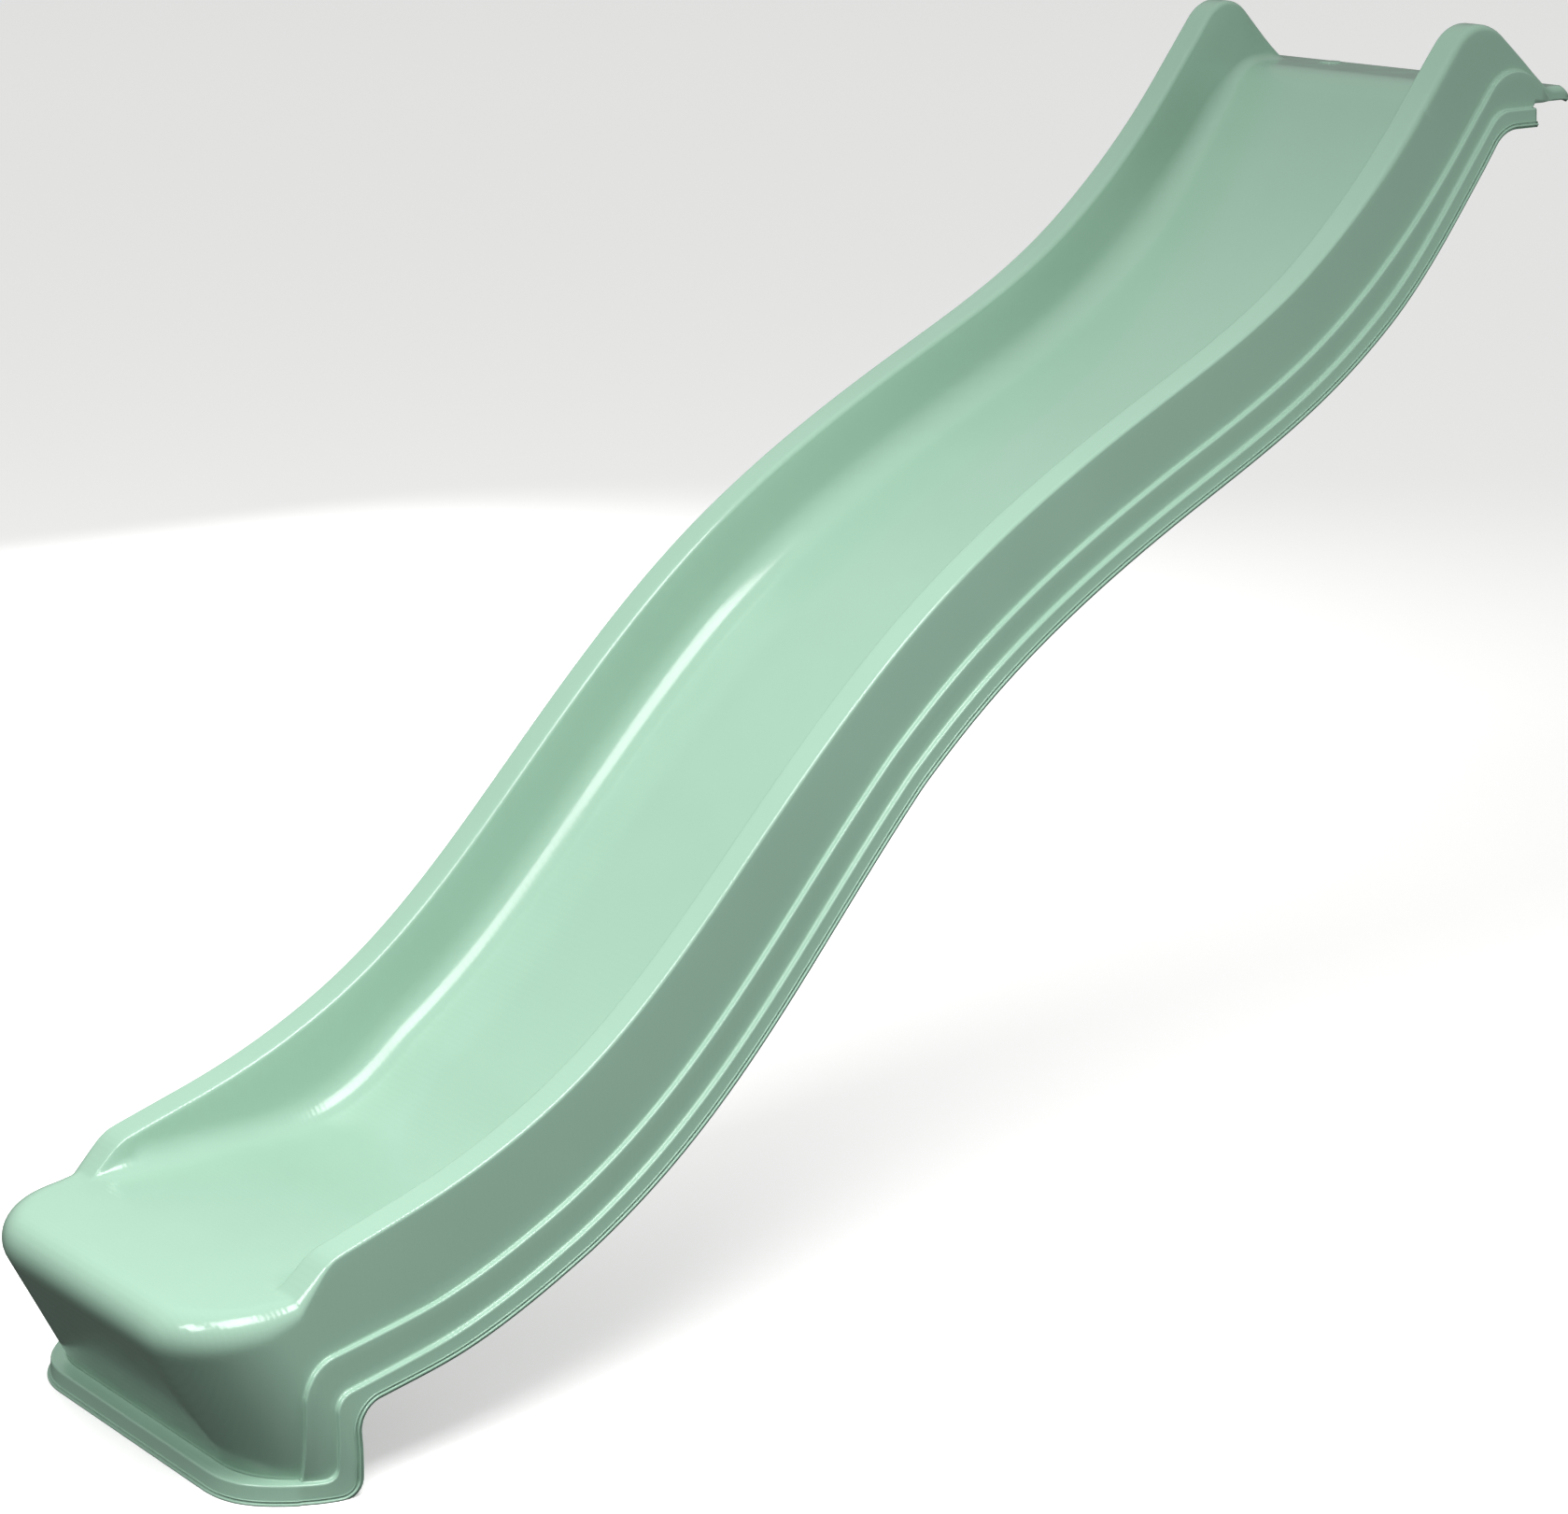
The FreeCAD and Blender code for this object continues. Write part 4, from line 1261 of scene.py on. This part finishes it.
@dataclass(frozen=True)
class GlossPolyethylene:
    """Blow-moulded HDPE, coloured right through. Waxy and glossy, with a faint orange peel from
    the mould and tool lines on the lower half that catch the light. The lines are drawn coarser
    than a mould's real cutter marks, so that they show."""

    name: str = "hdpe_blow_moulded_sage"
    colour: str = "9ABCA8"
    shade: str = "94B6A2"
    roughness: float = 0.17
    ior: float = 1.52
    cloud_mm: float = 140.0
    haze_mm: float = 40.0
    peel_mm: float = 3.2
    peel_depth_mm: float = 0.035
    tool_line_mm: float = 5.6549
    tool_depth_mm: float = 0.05
    tool_line_reach: tuple[float, float] = (-0.75, 0.1)

    def material(self) -> bpy.types.Material:
        """Builds the node tree.

        Returns:
            The material.
        """
        made = empty_material(self.name)
        tree = made.node_tree
        spot = node(tree, "ShaderNodeTexCoord").outputs["Object"]
        cloud = node(tree, "ShaderNodeTexNoise", None,
                     {"Scale": 1.0 / (self.cloud_mm * MM), "Detail": 2.0, "Roughness": 0.5},
                     {"Vector": spot})
        tone = node(tree, "ShaderNodeMix", {"data_type": "RGBA"},
                    {6: linear(self.colour), 7: linear(self.shade)}, {0: cloud.outputs["Fac"]})
        haze = node(tree, "ShaderNodeTexNoise", None,
                    {"Scale": 1.0 / (self.haze_mm * MM), "Detail": 3.0, "Roughness": 0.6},
                    {"Vector": spot})
        rough = node(tree, "ShaderNodeMapRange", None,
                     {"From Min": 0.3, "From Max": 0.7, "To Min": self.roughness - 0.03,
                      "To Max": self.roughness + 0.05}, {"Value": haze.outputs["Fac"]})
        peel = node(tree, "ShaderNodeTexNoise", None,
                    {"Scale": 1.0 / (self.peel_mm * MM), "Detail": 1.0, "Roughness": 0.4},
                    {"Vector": spot})
        # the wave node repeats each time its scaled length grows by pi / 10
        lines = node(tree, "ShaderNodeTexWave", {"bands_direction": "X", "wave_profile": "SIN"},
                     {"Scale": math.pi / 10.0 / (self.tool_line_mm * MM), "Distortion": 0.6,
                      "Detail": 1.0, "Detail Scale": 0.6}, {"Vector": spot})
        parts = node(tree, "ShaderNodeSeparateXYZ", None, None, {"Vector": spot})
        lower = node(tree, "ShaderNodeMapRange", {"interpolation_type": "SMOOTHSTEP"},
                     {"From Min": self.tool_line_reach[0], "From Max": self.tool_line_reach[1],
                      "To Min": 1.0, "To Max": 0.0},
                     {"Value": parts.outputs["X"]})
        ridges = node(tree, "ShaderNodeMath", {"operation": "MULTIPLY"}, None,
                      {0: lines.outputs["Fac"], 1: lower.outputs["Result"]})
        relief_1 = node(tree, "ShaderNodeBump", None,
                        {"Strength": 1.0, "Distance": self.peel_depth_mm * MM},
                        {"Height": peel.outputs["Fac"]})
        relief_2 = node(tree, "ShaderNodeBump", None,
                        {"Strength": 1.0, "Distance": self.tool_depth_mm * MM},
                        {"Height": ridges.outputs[0], "Normal": relief_1.outputs["Normal"]})
        shader = node(tree, "ShaderNodeBsdfPrincipled", None,
                      {"IOR": self.ior, "Metallic": 0.0},
                      {"Base Color": tone.outputs[2], "Roughness": rough.outputs["Result"],
                       "Normal": relief_2.outputs["Normal"]})
        node(tree, "ShaderNodeOutputMaterial", None, None, {"Surface": shader.outputs["BSDF"]})
        return made


@dataclass(frozen=True)
class ZincPlate:
    """Bright zinc plate on steel: pale blue-grey metal with faint cloudy crystals."""

    name: str = "zinc_plated_steel"
    colour: str = "C9CCD0"
    shade: str = "AEB3BA"
    roughness: float = 0.32
    cloud_mm: float = 2.5
    cloud_depth_mm: float = 0.02

    def material(self) -> bpy.types.Material:
        """Builds the node tree.

        Returns:
            The material.
        """
        made = empty_material(self.name)
        tree = made.node_tree
        spot = node(tree, "ShaderNodeTexCoord").outputs["Object"]
        cloud = node(tree, "ShaderNodeTexNoise", None,
                     {"Scale": 1.0 / (self.cloud_mm * MM), "Detail": 3.0}, {"Vector": spot})
        tone = node(tree, "ShaderNodeMix", {"data_type": "RGBA"},
                    {6: linear(self.colour), 7: linear(self.shade)}, {0: cloud.outputs["Fac"]})
        rough = node(tree, "ShaderNodeMapRange", None,
                     {"To Min": self.roughness - 0.06, "To Max": self.roughness + 0.1},
                     {"Value": cloud.outputs["Fac"]})
        relief = node(tree, "ShaderNodeBump", None,
                      {"Strength": 1.0, "Distance": self.cloud_depth_mm * MM},
                      {"Height": cloud.outputs["Fac"]})
        shader = node(tree, "ShaderNodeBsdfPrincipled", None, {"Metallic": 1.0},
                      {"Base Color": tone.outputs[2], "Roughness": rough.outputs["Result"],
                       "Normal": relief.outputs["Normal"]})
        node(tree, "ShaderNodeOutputMaterial", None, None, {"Surface": shader.outputs["BSDF"]})
        return made


# ------------------------------------------------------------------ stage

@dataclass(frozen=True)
class Lamp:
    """An oblong soft lamp whose long side lies along the chute, in metres and watts.

    Size is its length along the chute and its width. Without glints, nothing mirrors it.
    """

    name: str
    place: tuple[float, float, float]
    aim: tuple[float, float, float]
    size: tuple[float, float]
    watts: float
    glints: bool = True
    spread: float = math.radians(130.0)

    def build(self) -> None:
        """Hangs the lamp and turns it towards its aim."""
        data = bpy.data.lights.new(self.name, "AREA")
        data.shape = "RECTANGLE"
        data.size, data.size_y = self.size
        data.spread = self.spread
        data.energy = self.watts
        obj = added(self.name, data)
        obj.location = self.place
        obj.visible_glossy = self.glints
        back = (Vector(self.place) - Vector(self.aim)).normalized()
        across = back.cross(Vector((1.0, 0.0, 0.0))).normalized()
        obj.rotation_euler = Matrix((across.cross(back), across, back)).transposed().to_euler()


@dataclass
class Stage:
    """Floor, soft studio light and the camera, in metres."""

    camera_place: tuple[float, float, float] = (-2.560, -2.968, 1.703)
    camera_back: tuple[float, float, float] = (-0.6182, -0.7321, 0.2861)
    lens: float = 85.37
    sky_start: float = -0.35
    horizon: float = 0.05
    zenith: float = 0.52
    floor_colour: str = "EDEDEC"
    floor_glow: float = 0.45
    cove_radius: float = 15.0
    cove_bend: float = 5.0
    cove_start: float = 0.5
    cove_sides: int = 64
    lamps: tuple[Lamp, ...] = (
        Lamp("key", (-1.0, -0.9, 2.55), (-1.15, 0.0, 0.1), (1.5, 1.3), 34.0),
        Lamp("fill", (-3.3, -0.5, 3.3), (-0.8, 0.0, 0.2), (1.2, 1.6), 36.0),
        Lamp("side", (1.7, -2.6, 1.5), (0.8, 0.0, 1.1), (1.2, 1.0), 8.0, False),
        Lamp("back", (0.9, 3.6, 1.2), (0.2, 0.0, 0.5), (1.8, 1.4), 50.0, False),
    )

    def build(self) -> None:
        """Makes the floor, lights, world and camera."""
        self.floor()
        self.world()
        for lamp in self.lamps:
            lamp.build()
        bpy.context.scene.view_settings.view_transform = "Standard"
        self.camera()

    def floor(self) -> None:
        """A plain pale floor that turns up into a wall far away, and lights nothing itself."""
        turns = np.linspace(0.0, math.pi / 2.0, 9)
        bend, flat = self.cove_bend, self.cove_radius - self.cove_bend
        line = [(self.cove_start, 0.0)]
        line += [(flat + bend * math.sin(a), bend * (1.0 - math.cos(a))) for a in turns]
        line += [(self.cove_radius, 3.0 * bend)]
        sides = self.cove_sides
        angles = np.linspace(0.0, 2.0 * math.pi, sides, endpoint=False)
        points = [(r * math.cos(a), r * math.sin(a), z) for r, z in line for a in angles]
        faces: list[tuple[int, ...]] = [tuple(range(sides))]
        for row in range(0, (len(line) - 1) * sides, sides):
            for i in range(sides):
                j = (i + 1) % sides
                faces.append((row + i, row + sides + i, row + sides + j, row + j))
        mesh = bpy.data.meshes.new("floor")
        mesh.from_pydata(points, [], faces)
        for face in mesh.polygons:
            face.use_smooth = face.index > 0
        made = bpy.data.materials.new("pale_floor")
        made.use_nodes = True
        shader = made.node_tree.nodes["Principled BSDF"]
        tint = linear(self.floor_colour)
        for socket, value in (("Base Color", tint), ("Roughness", 0.9), ("Emission Color", tint),
                              ("Emission Strength", self.floor_glow)):
            shader.inputs[socket].default_value = value
        mesh.materials.append(made)
        obj = added("floor", mesh)
        obj.visible_diffuse = False
        obj.visible_glossy = False
        obj.visible_shadow = False

    def world(self) -> None:
        """A surround that is bright above and dim below."""
        world = bpy.data.worlds.new("studio")
        bpy.context.scene.world = world
        world.use_nodes = True
        tree = world.node_tree
        back = tree.nodes["Background"]
        back.inputs["Color"].default_value = (1.0, 1.0, 1.0, 1.0)
        look = node(tree, "ShaderNodeTexCoord")
        parts = node(tree, "ShaderNodeSeparateXYZ", None, None, {"Vector": look.outputs["Generated"]})
        sky = node(tree, "ShaderNodeMapRange", {"interpolation_type": "SMOOTHSTEP"},
                   {"From Min": self.sky_start, "From Max": 0.95, "To Min": self.horizon,
                    "To Max": self.zenith}, {"Value": parts.outputs["Z"]})
        tree.links.new(sky.outputs["Result"], back.inputs["Strength"])

    def camera(self) -> None:
        """The camera at the viewing angle."""
        data = bpy.data.cameras.new("camera")
        data.lens = self.lens
        data.sensor_width = 36.0
        data.sensor_fit = "HORIZONTAL"
        obj = added("camera", data)
        obj.location = self.camera_place
        obj.rotation_euler = (-Vector(self.camera_back)).to_track_quat("-Z", "Y").to_euler()
        bpy.context.scene.camera = obj


# ------------------------------------------------------------------ assembly

@dataclass
class SlideShell:
    """The one-piece moulded chute."""

    sizes: SlideSizes
    finish: GlossPolyethylene

    def build(self) -> bpy.types.Object:
        """Makes the skin and dresses it.

        Returns:
            The finished piece, riding on the slide's one body.
        """
        low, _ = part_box("slide_shell")
        origin_x = self.sizes.nose_front - low.x / MM
        obj = ShellBuilder(self.sizes, origin_x).build()
        obj.data.materials.append(self.finish.material())
        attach(obj, "root")
        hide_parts("slide_shell")
        return obj


# ------------------------------------------------------------------ fixings

def turned(profile: list[tuple[float, float]], sides: int, drive: tuple[float, float] | None = None
           ) -> tuple[Array, list[tuple[int, ...]]]:
    """Turns a profile round an upright axis into a closed skin.

    Args:
        profile: (radius, height) in millimetres, from the bottom up the outside and back inside.
            A radius of 0 at an end closes it at the axis; otherwise the profile is a ring.
        sides: Faces round the axis.
        drive: Largest radius and highest depth change of a star-shaped socket, or None.

    Returns:
        Points in millimetres, and faces.
    """
    angles = np.linspace(0.0, 2.0 * math.pi, sides, endpoint=False)
    star = 0.86 + 0.14 * np.cos(6.0 * angles)   # six rounded points
    points, rings = [], []
    for radius, height in profile:
        if radius == 0.0:
            rings.append([len(points)])
            points.append((0.0, 0.0, height))
            continue
        reach = np.full(sides, radius)
        if drive is not None and radius <= drive[0] and height > drive[1]:
            reach = radius * star
        rings.append(list(range(len(points), len(points) + sides)))
        points += [(r * math.cos(a), r * math.sin(a), height) for r, a in zip(reach, angles)]
    closed = len(rings[0]) > 1
    faces: list[tuple[int, ...]] = []
    for low, high in zip(rings, rings[1:] + (rings[:1] if closed else [])):
        for i in range(sides):
            j = (i + 1) % sides
            corners = [low[i % len(low)], low[j % len(low)],
                       high[j % len(high)], high[i % len(high)]]
            faces.append(tuple(dict.fromkeys(corners)))
    return np.array(points), faces


def turned_object(name: str, profile: list[tuple[float, float]], sides: int,
                  drive: tuple[float, float] | None = None) -> bpy.types.Object:
    """A turned piece standing on its own middle, in metres.

    Args:
        name: The piece's name.
        profile: (radius, height) in millimetres.
        sides: Faces round the axis.
        drive: Socket size, as turned() takes it.

    Returns:
        The object.
    """
    points, faces = turned(profile, sides, drive)
    mesh = bpy.data.meshes.new(name)
    mesh.from_pydata((points * MM).tolist(), [], faces)
    work = bmesh.new()
    work.from_mesh(mesh)
    bmesh.ops.recalc_face_normals(work, faces=work.faces)
    for face in work.faces:
        face.smooth = True
    for edge in work.edges:
        edge.smooth = len(edge.link_faces) == 2 and edge.calc_face_angle() < math.radians(38.0)
    work.to_mesh(mesh)
    work.free()
    return added(name, mesh)


class FixingTree:
    """Geometry Nodes that set a fixing at each screw place, with a thread where it has one."""

    def __init__(self, name: str) -> None:
        """Makes the tree and its named inputs.

        Args:
            name: The tree's name.
        """
        self.tree = bpy.data.node_groups.new(name, "GeometryNodeTree")
        self.sockets: dict[str, str] = {}
        face = self.tree.interface
        face.new_socket("Geometry", in_out="OUTPUT", socket_type="NodeSocketGeometry")
        face.new_socket("Piece", in_out="INPUT", socket_type="NodeSocketGeometry")
        for label, kind in (("Spacing", "NodeSocketFloat"), ("Row start", "NodeSocketVector"),
                            ("Thread start", "NodeSocketVector"),
                            ("Thread radius", "NodeSocketFloat"),
                            ("Thread length", "NodeSocketFloat"),
                            ("Thread turns", "NodeSocketFloat"),
                            ("Ridge radius", "NodeSocketFloat"),
                            ("Finish", "NodeSocketMaterial")):
            socket = face.new_socket(label, in_out="INPUT", socket_type=kind)
            self.sockets[label] = socket.identifier
        self.wire()

    def wire(self) -> None:
        """Links the nodes: thread, two places, realised, finished."""
        tree = self.tree
        given = node(tree, "NodeGroupInput").outputs
        helix = node(tree, "GeometryNodeCurveSpiral", None, {"Resolution": 28},
                     {"Rotations": given["Thread turns"], "Start Radius": given["Thread radius"],
                      "End Radius": given["Thread radius"], "Height": given["Thread length"]})
        upright = node(tree, "GeometryNodeSetCurveNormal", {"mode": "Z_UP"}, None,
                       {"Curve": helix.outputs["Curve"]})
        ridge = node(tree, "GeometryNodeCurvePrimitiveCircle", None, {"Resolution": 4},
                     {"Radius": given["Ridge radius"]})
        thread = node(tree, "GeometryNodeCurveToMesh", None, {"Fill Caps": True},
                      {"Curve": upright.outputs["Curve"], "Profile Curve": ridge.outputs["Curve"]})
        placed = node(tree, "GeometryNodeTransform", None, None,
                      {"Geometry": thread.outputs["Mesh"], "Translation": given["Thread start"]})
        whole = node(tree, "GeometryNodeJoinGeometry")
        tree.links.new(given["Piece"], whole.inputs["Geometry"])
        tree.links.new(placed.outputs["Geometry"], whole.inputs["Geometry"])
        step = node(tree, "ShaderNodeCombineXYZ", None, None, {"Y": given["Spacing"]})
        row = node(tree, "GeometryNodeMeshLine", {"mode": "OFFSET"}, {"Count": 2},
                   {"Start Location": given["Row start"], "Offset": step.outputs["Vector"]})
        copies = node(tree, "GeometryNodeInstanceOnPoints", None, None,
                      {"Points": row.outputs["Mesh"], "Instance": whole.outputs["Geometry"]})
        real = node(tree, "GeometryNodeRealizeInstances", None, None,
                    {"Geometry": copies.outputs["Instances"]})
        dressed = node(tree, "GeometryNodeSetMaterial", None, None,
                       {"Geometry": real.outputs["Geometry"], "Material": given["Finish"]})
        node(tree, "NodeGroupOutput", None, None, {"Geometry": dressed.outputs["Geometry"]})


@dataclass(frozen=True)
class Thread:
    """Sizes of a cut thread in metres. All zero, it is a fixing with none."""

    start: float = 0.0
    radius: float = 0.0
    length: float = 0.0
    turns: float = 0.0
    ridge: float = 0.0


@dataclass
class Fixings:
    """Screws, washers and caps that hold the lip down, in two deep recesses.

    Sizes are in millimetres. Heights and places come from the frame's own nodes.
    """

    zinc: ZincPlate
    cap: GlossPolyethylene
    head_radius: float = 6.0
    head_height: float = 3.4
    head_edge: float = 1.1
    neck_radius: float = 2.2
    neck_length: float = 4.6
    socket_radius: float = 1.7
    socket_depth: float = 2.0
    core_radius: float = 2.05
    thread_radius: float = 3.0
    thread_length: float = 32.0
    thread_pitch: float = 2.6
    thread_ridge: float = 0.75
    thread_lead: float = 3.0
    point_length: float = 8.0
    washer_bore: float = 3.4
    plug_radius: float = 11.8
    plug_wall: float = 1.6
    flange: float = 1.4
    recess_radius: float = 12.0
    recess_wall: float = 3.0
    recess_lap: float = 3.0
    lip: float = 16.0
    washer_sides: int = 40
    screw_sides: int = 48
    recess_sides: int = 48
    cap_sides: int = 56

    def build(self, skin: bpy.types.Material) -> list[bpy.types.Object]:
        """Makes the recesses and the three rows of fixings in them.

        Args:
            skin: The moulding's own finish.

        Returns:
            The finished pieces.
        """
        zinc = self.zinc.material()
        return [self.recesses(skin), self.screws(zinc), self.washers(zinc),
                self.caps(self.cap.material())]

    def span(self, name: str) -> tuple[Vector, float, float, float]:
        """Where a row of two round fixings stands.

        Args:
            name: The CAD node.

        Returns:
            Foot of the first one, spacing, radius and height, all in metres.
        """
        low, high = (Vector(v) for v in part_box(name))
        radius = (high.x - low.x) / 2.0
        first = Vector((low.x + radius, low.y + radius, low.z))
        return first, high.y - low.y - 2.0 * radius, radius, high.z - low.z

    def place(self, name: str, node_name: str, slot: str, made: bpy.types.Material,
              core: bpy.types.Object, thread: Thread = Thread(), stands_for: str = "",
              drop: float = 0.0) -> bpy.types.Object:
        """Sets a fixing at both screw places and makes it one plain mesh.

        Args:
            name: The piece's name.
            node_name: CAD node that gives its place.
            slot: Material slot name; not used.
            made: Its finish.
            core: The turned piece, standing on its own middle.
            thread: The thread cut round it.
            stands_for: CAD node that it replaces, if that is another one.
            drop: How far below the CAD node's foot it stands, in metres.

        Returns:
            The finished piece.
        """
        first, spacing, _, _ = self.span(node_name)
        first.z -= drop
        tree = FixingTree(name + "_row")
        hold = core.modifiers.new("row", "NODES")
        hold.node_group = tree.tree
        values = {"Spacing": spacing, "Row start": first,
                  "Thread start": (0.0, 0.0, thread.start), "Thread radius": thread.radius,
                  "Thread length": thread.length, "Thread turns": thread.turns,
                  "Ridge radius": thread.ridge, "Finish": made}
        for label, value in values.items():
            hold[tree.sockets[label]] = value
        mesh = applied(core, hold)
        bpy.data.objects.remove(core)
        obj = added(name, mesh)
        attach(obj, "root")
        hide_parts(stands_for or node_name)
        return obj

    def screws(self, made: bpy.types.Material) -> bpy.types.Object:
        """Flat-headed wood screws with a star socket and a cut thread.

        Args:
            made: Their finish.

        Returns:
            The finished piece.
        """
        _, _, _, height = self.span("platform_screws")
        top = height / MM
        seat = top - self.head_height
        head, edge, neck = self.head_radius, self.head_edge, self.neck_radius
        socket, bottom = self.socket_radius, top - self.socket_depth
        profile = [(0.0, 0.0), (0.5, 0.9), (1.4, self.point_length * 0.6),
                   (self.core_radius, self.point_length), (self.core_radius, seat - 6.0),
                   (neck, seat - self.neck_length), (neck, seat), (head - 0.2, seat),
                   (head, seat + 0.25), (head, top - edge), (head - edge * 0.3, top - edge * 0.3),
                   (head - edge, top), (socket + 0.12, top), (socket, top - 0.12),
                   (socket * 0.98, bottom), (0.0, bottom)]
        core = turned_object("screw_core", profile, self.screw_sides, (socket, bottom - 0.1))
        length = self.thread_length + self.thread_lead
        thread = Thread((self.point_length - self.thread_lead) * MM,
                        (self.thread_radius - self.thread_ridge) * MM, length * MM,
                        length / self.thread_pitch, self.thread_ridge * MM)
        return self.place("wood_screws", "platform_screws", "zinc_steel", made, core, thread)

    def recesses(self, made: bpy.types.Material) -> bpy.types.Object:
        """The moulding's own deep cups, hanging under the lip, that the fixings stand in.

        Args:
            made: Their finish.

        Returns:
            The finished piece.
        """
        wide, floor = self.recess_radius, self.recess_wall
        top = self.lip - self.recess_lap
        profile = [(self.washer_bore, 0.0), (wide + floor - 0.6, 0.0), (wide + floor, 0.6),
                   (wide + floor, top), (wide, top), (wide, floor + 0.8), (wide - 0.8, floor),
                   (self.washer_bore, floor)]
        core = turned_object("recess_core", profile, self.recess_sides)
        return self.place("lip_recesses", "screw_washers", "hdpe", made, core,
                          stands_for="slide_shell", drop=floor * MM)

    def washers(self, made: bpy.types.Material) -> bpy.types.Object:
        """Plain washers with the slight edge roll of a punched disc.

        Args:
            made: Their finish.

        Returns:
            The finished piece.
        """
        _, _, radius, height = self.span("screw_washers")
        wide, thick, roll = radius / MM, height / MM, 0.3
        profile = [(self.washer_bore, 0.15), (self.washer_bore + 0.15, 0.0), (wide - 0.15, 0.0),
                   (wide, 0.15), (wide, thick - roll), (wide - roll * 0.3, thick - roll * 0.3),
                   (wide - roll, thick), (self.washer_bore + roll, thick),
                   (self.washer_bore, thick - roll)]
        core = turned_object("washer_core", profile, self.washer_sides)
        return self.place("punched_washers", "screw_washers", "zinc_steel", made, core)

    def caps(self, made: bpy.types.Material) -> bpy.types.Object:
        """Domed caps whose plugs press into the recesses.

        Args:
            made: Their finish.

        Returns:
            The finished piece.
        """
        _, _, radius, height = self.span("screw_caps")
        wide, top = radius / MM, height / MM
        seat = top - self.flange
        inside = self.plug_radius - self.plug_wall
        profile = [(0.0, seat), (inside, seat), (inside, 0.3), (inside + 0.3, 0.0),
                   (self.plug_radius - 0.5, 0.0), (self.plug_radius, 0.6),
                   (self.plug_radius, seat), (wide - 0.1, seat), (wide, seat + 0.1),
                   (wide, seat + 0.35), (wide - 0.25, seat + 0.7), (wide - 1.0, seat + 1.0),
                   (wide * 0.6, top - 0.12), (wide * 0.3, top - 0.02), (0.0, top)]
        core = turned_object("cap_core", profile, self.cap_sides)
        return self.place("recess_caps", "screw_caps", "cap_plastic", made, core)


def report(obj: bpy.types.Object) -> None:
    """Logs a piece and its size."""
    LOG.info("%s: %d faces", obj.name, len(obj.data.polygons))


def main() -> None:
    """Builds every piece in order."""
    logging.basicConfig(level=logging.INFO)
    shell = SlideShell(SlideSizes(), GlossPolyethylene()).build()
    report(shell)
    fixings = Fixings(ZincPlate(), GlossPolyethylene(name="cap_polyethylene_sage"))
    for piece in fixings.build(shell.data.materials[0]):
        report(piece)
    Stage().build()


if __name__ == "__main__":
    main()
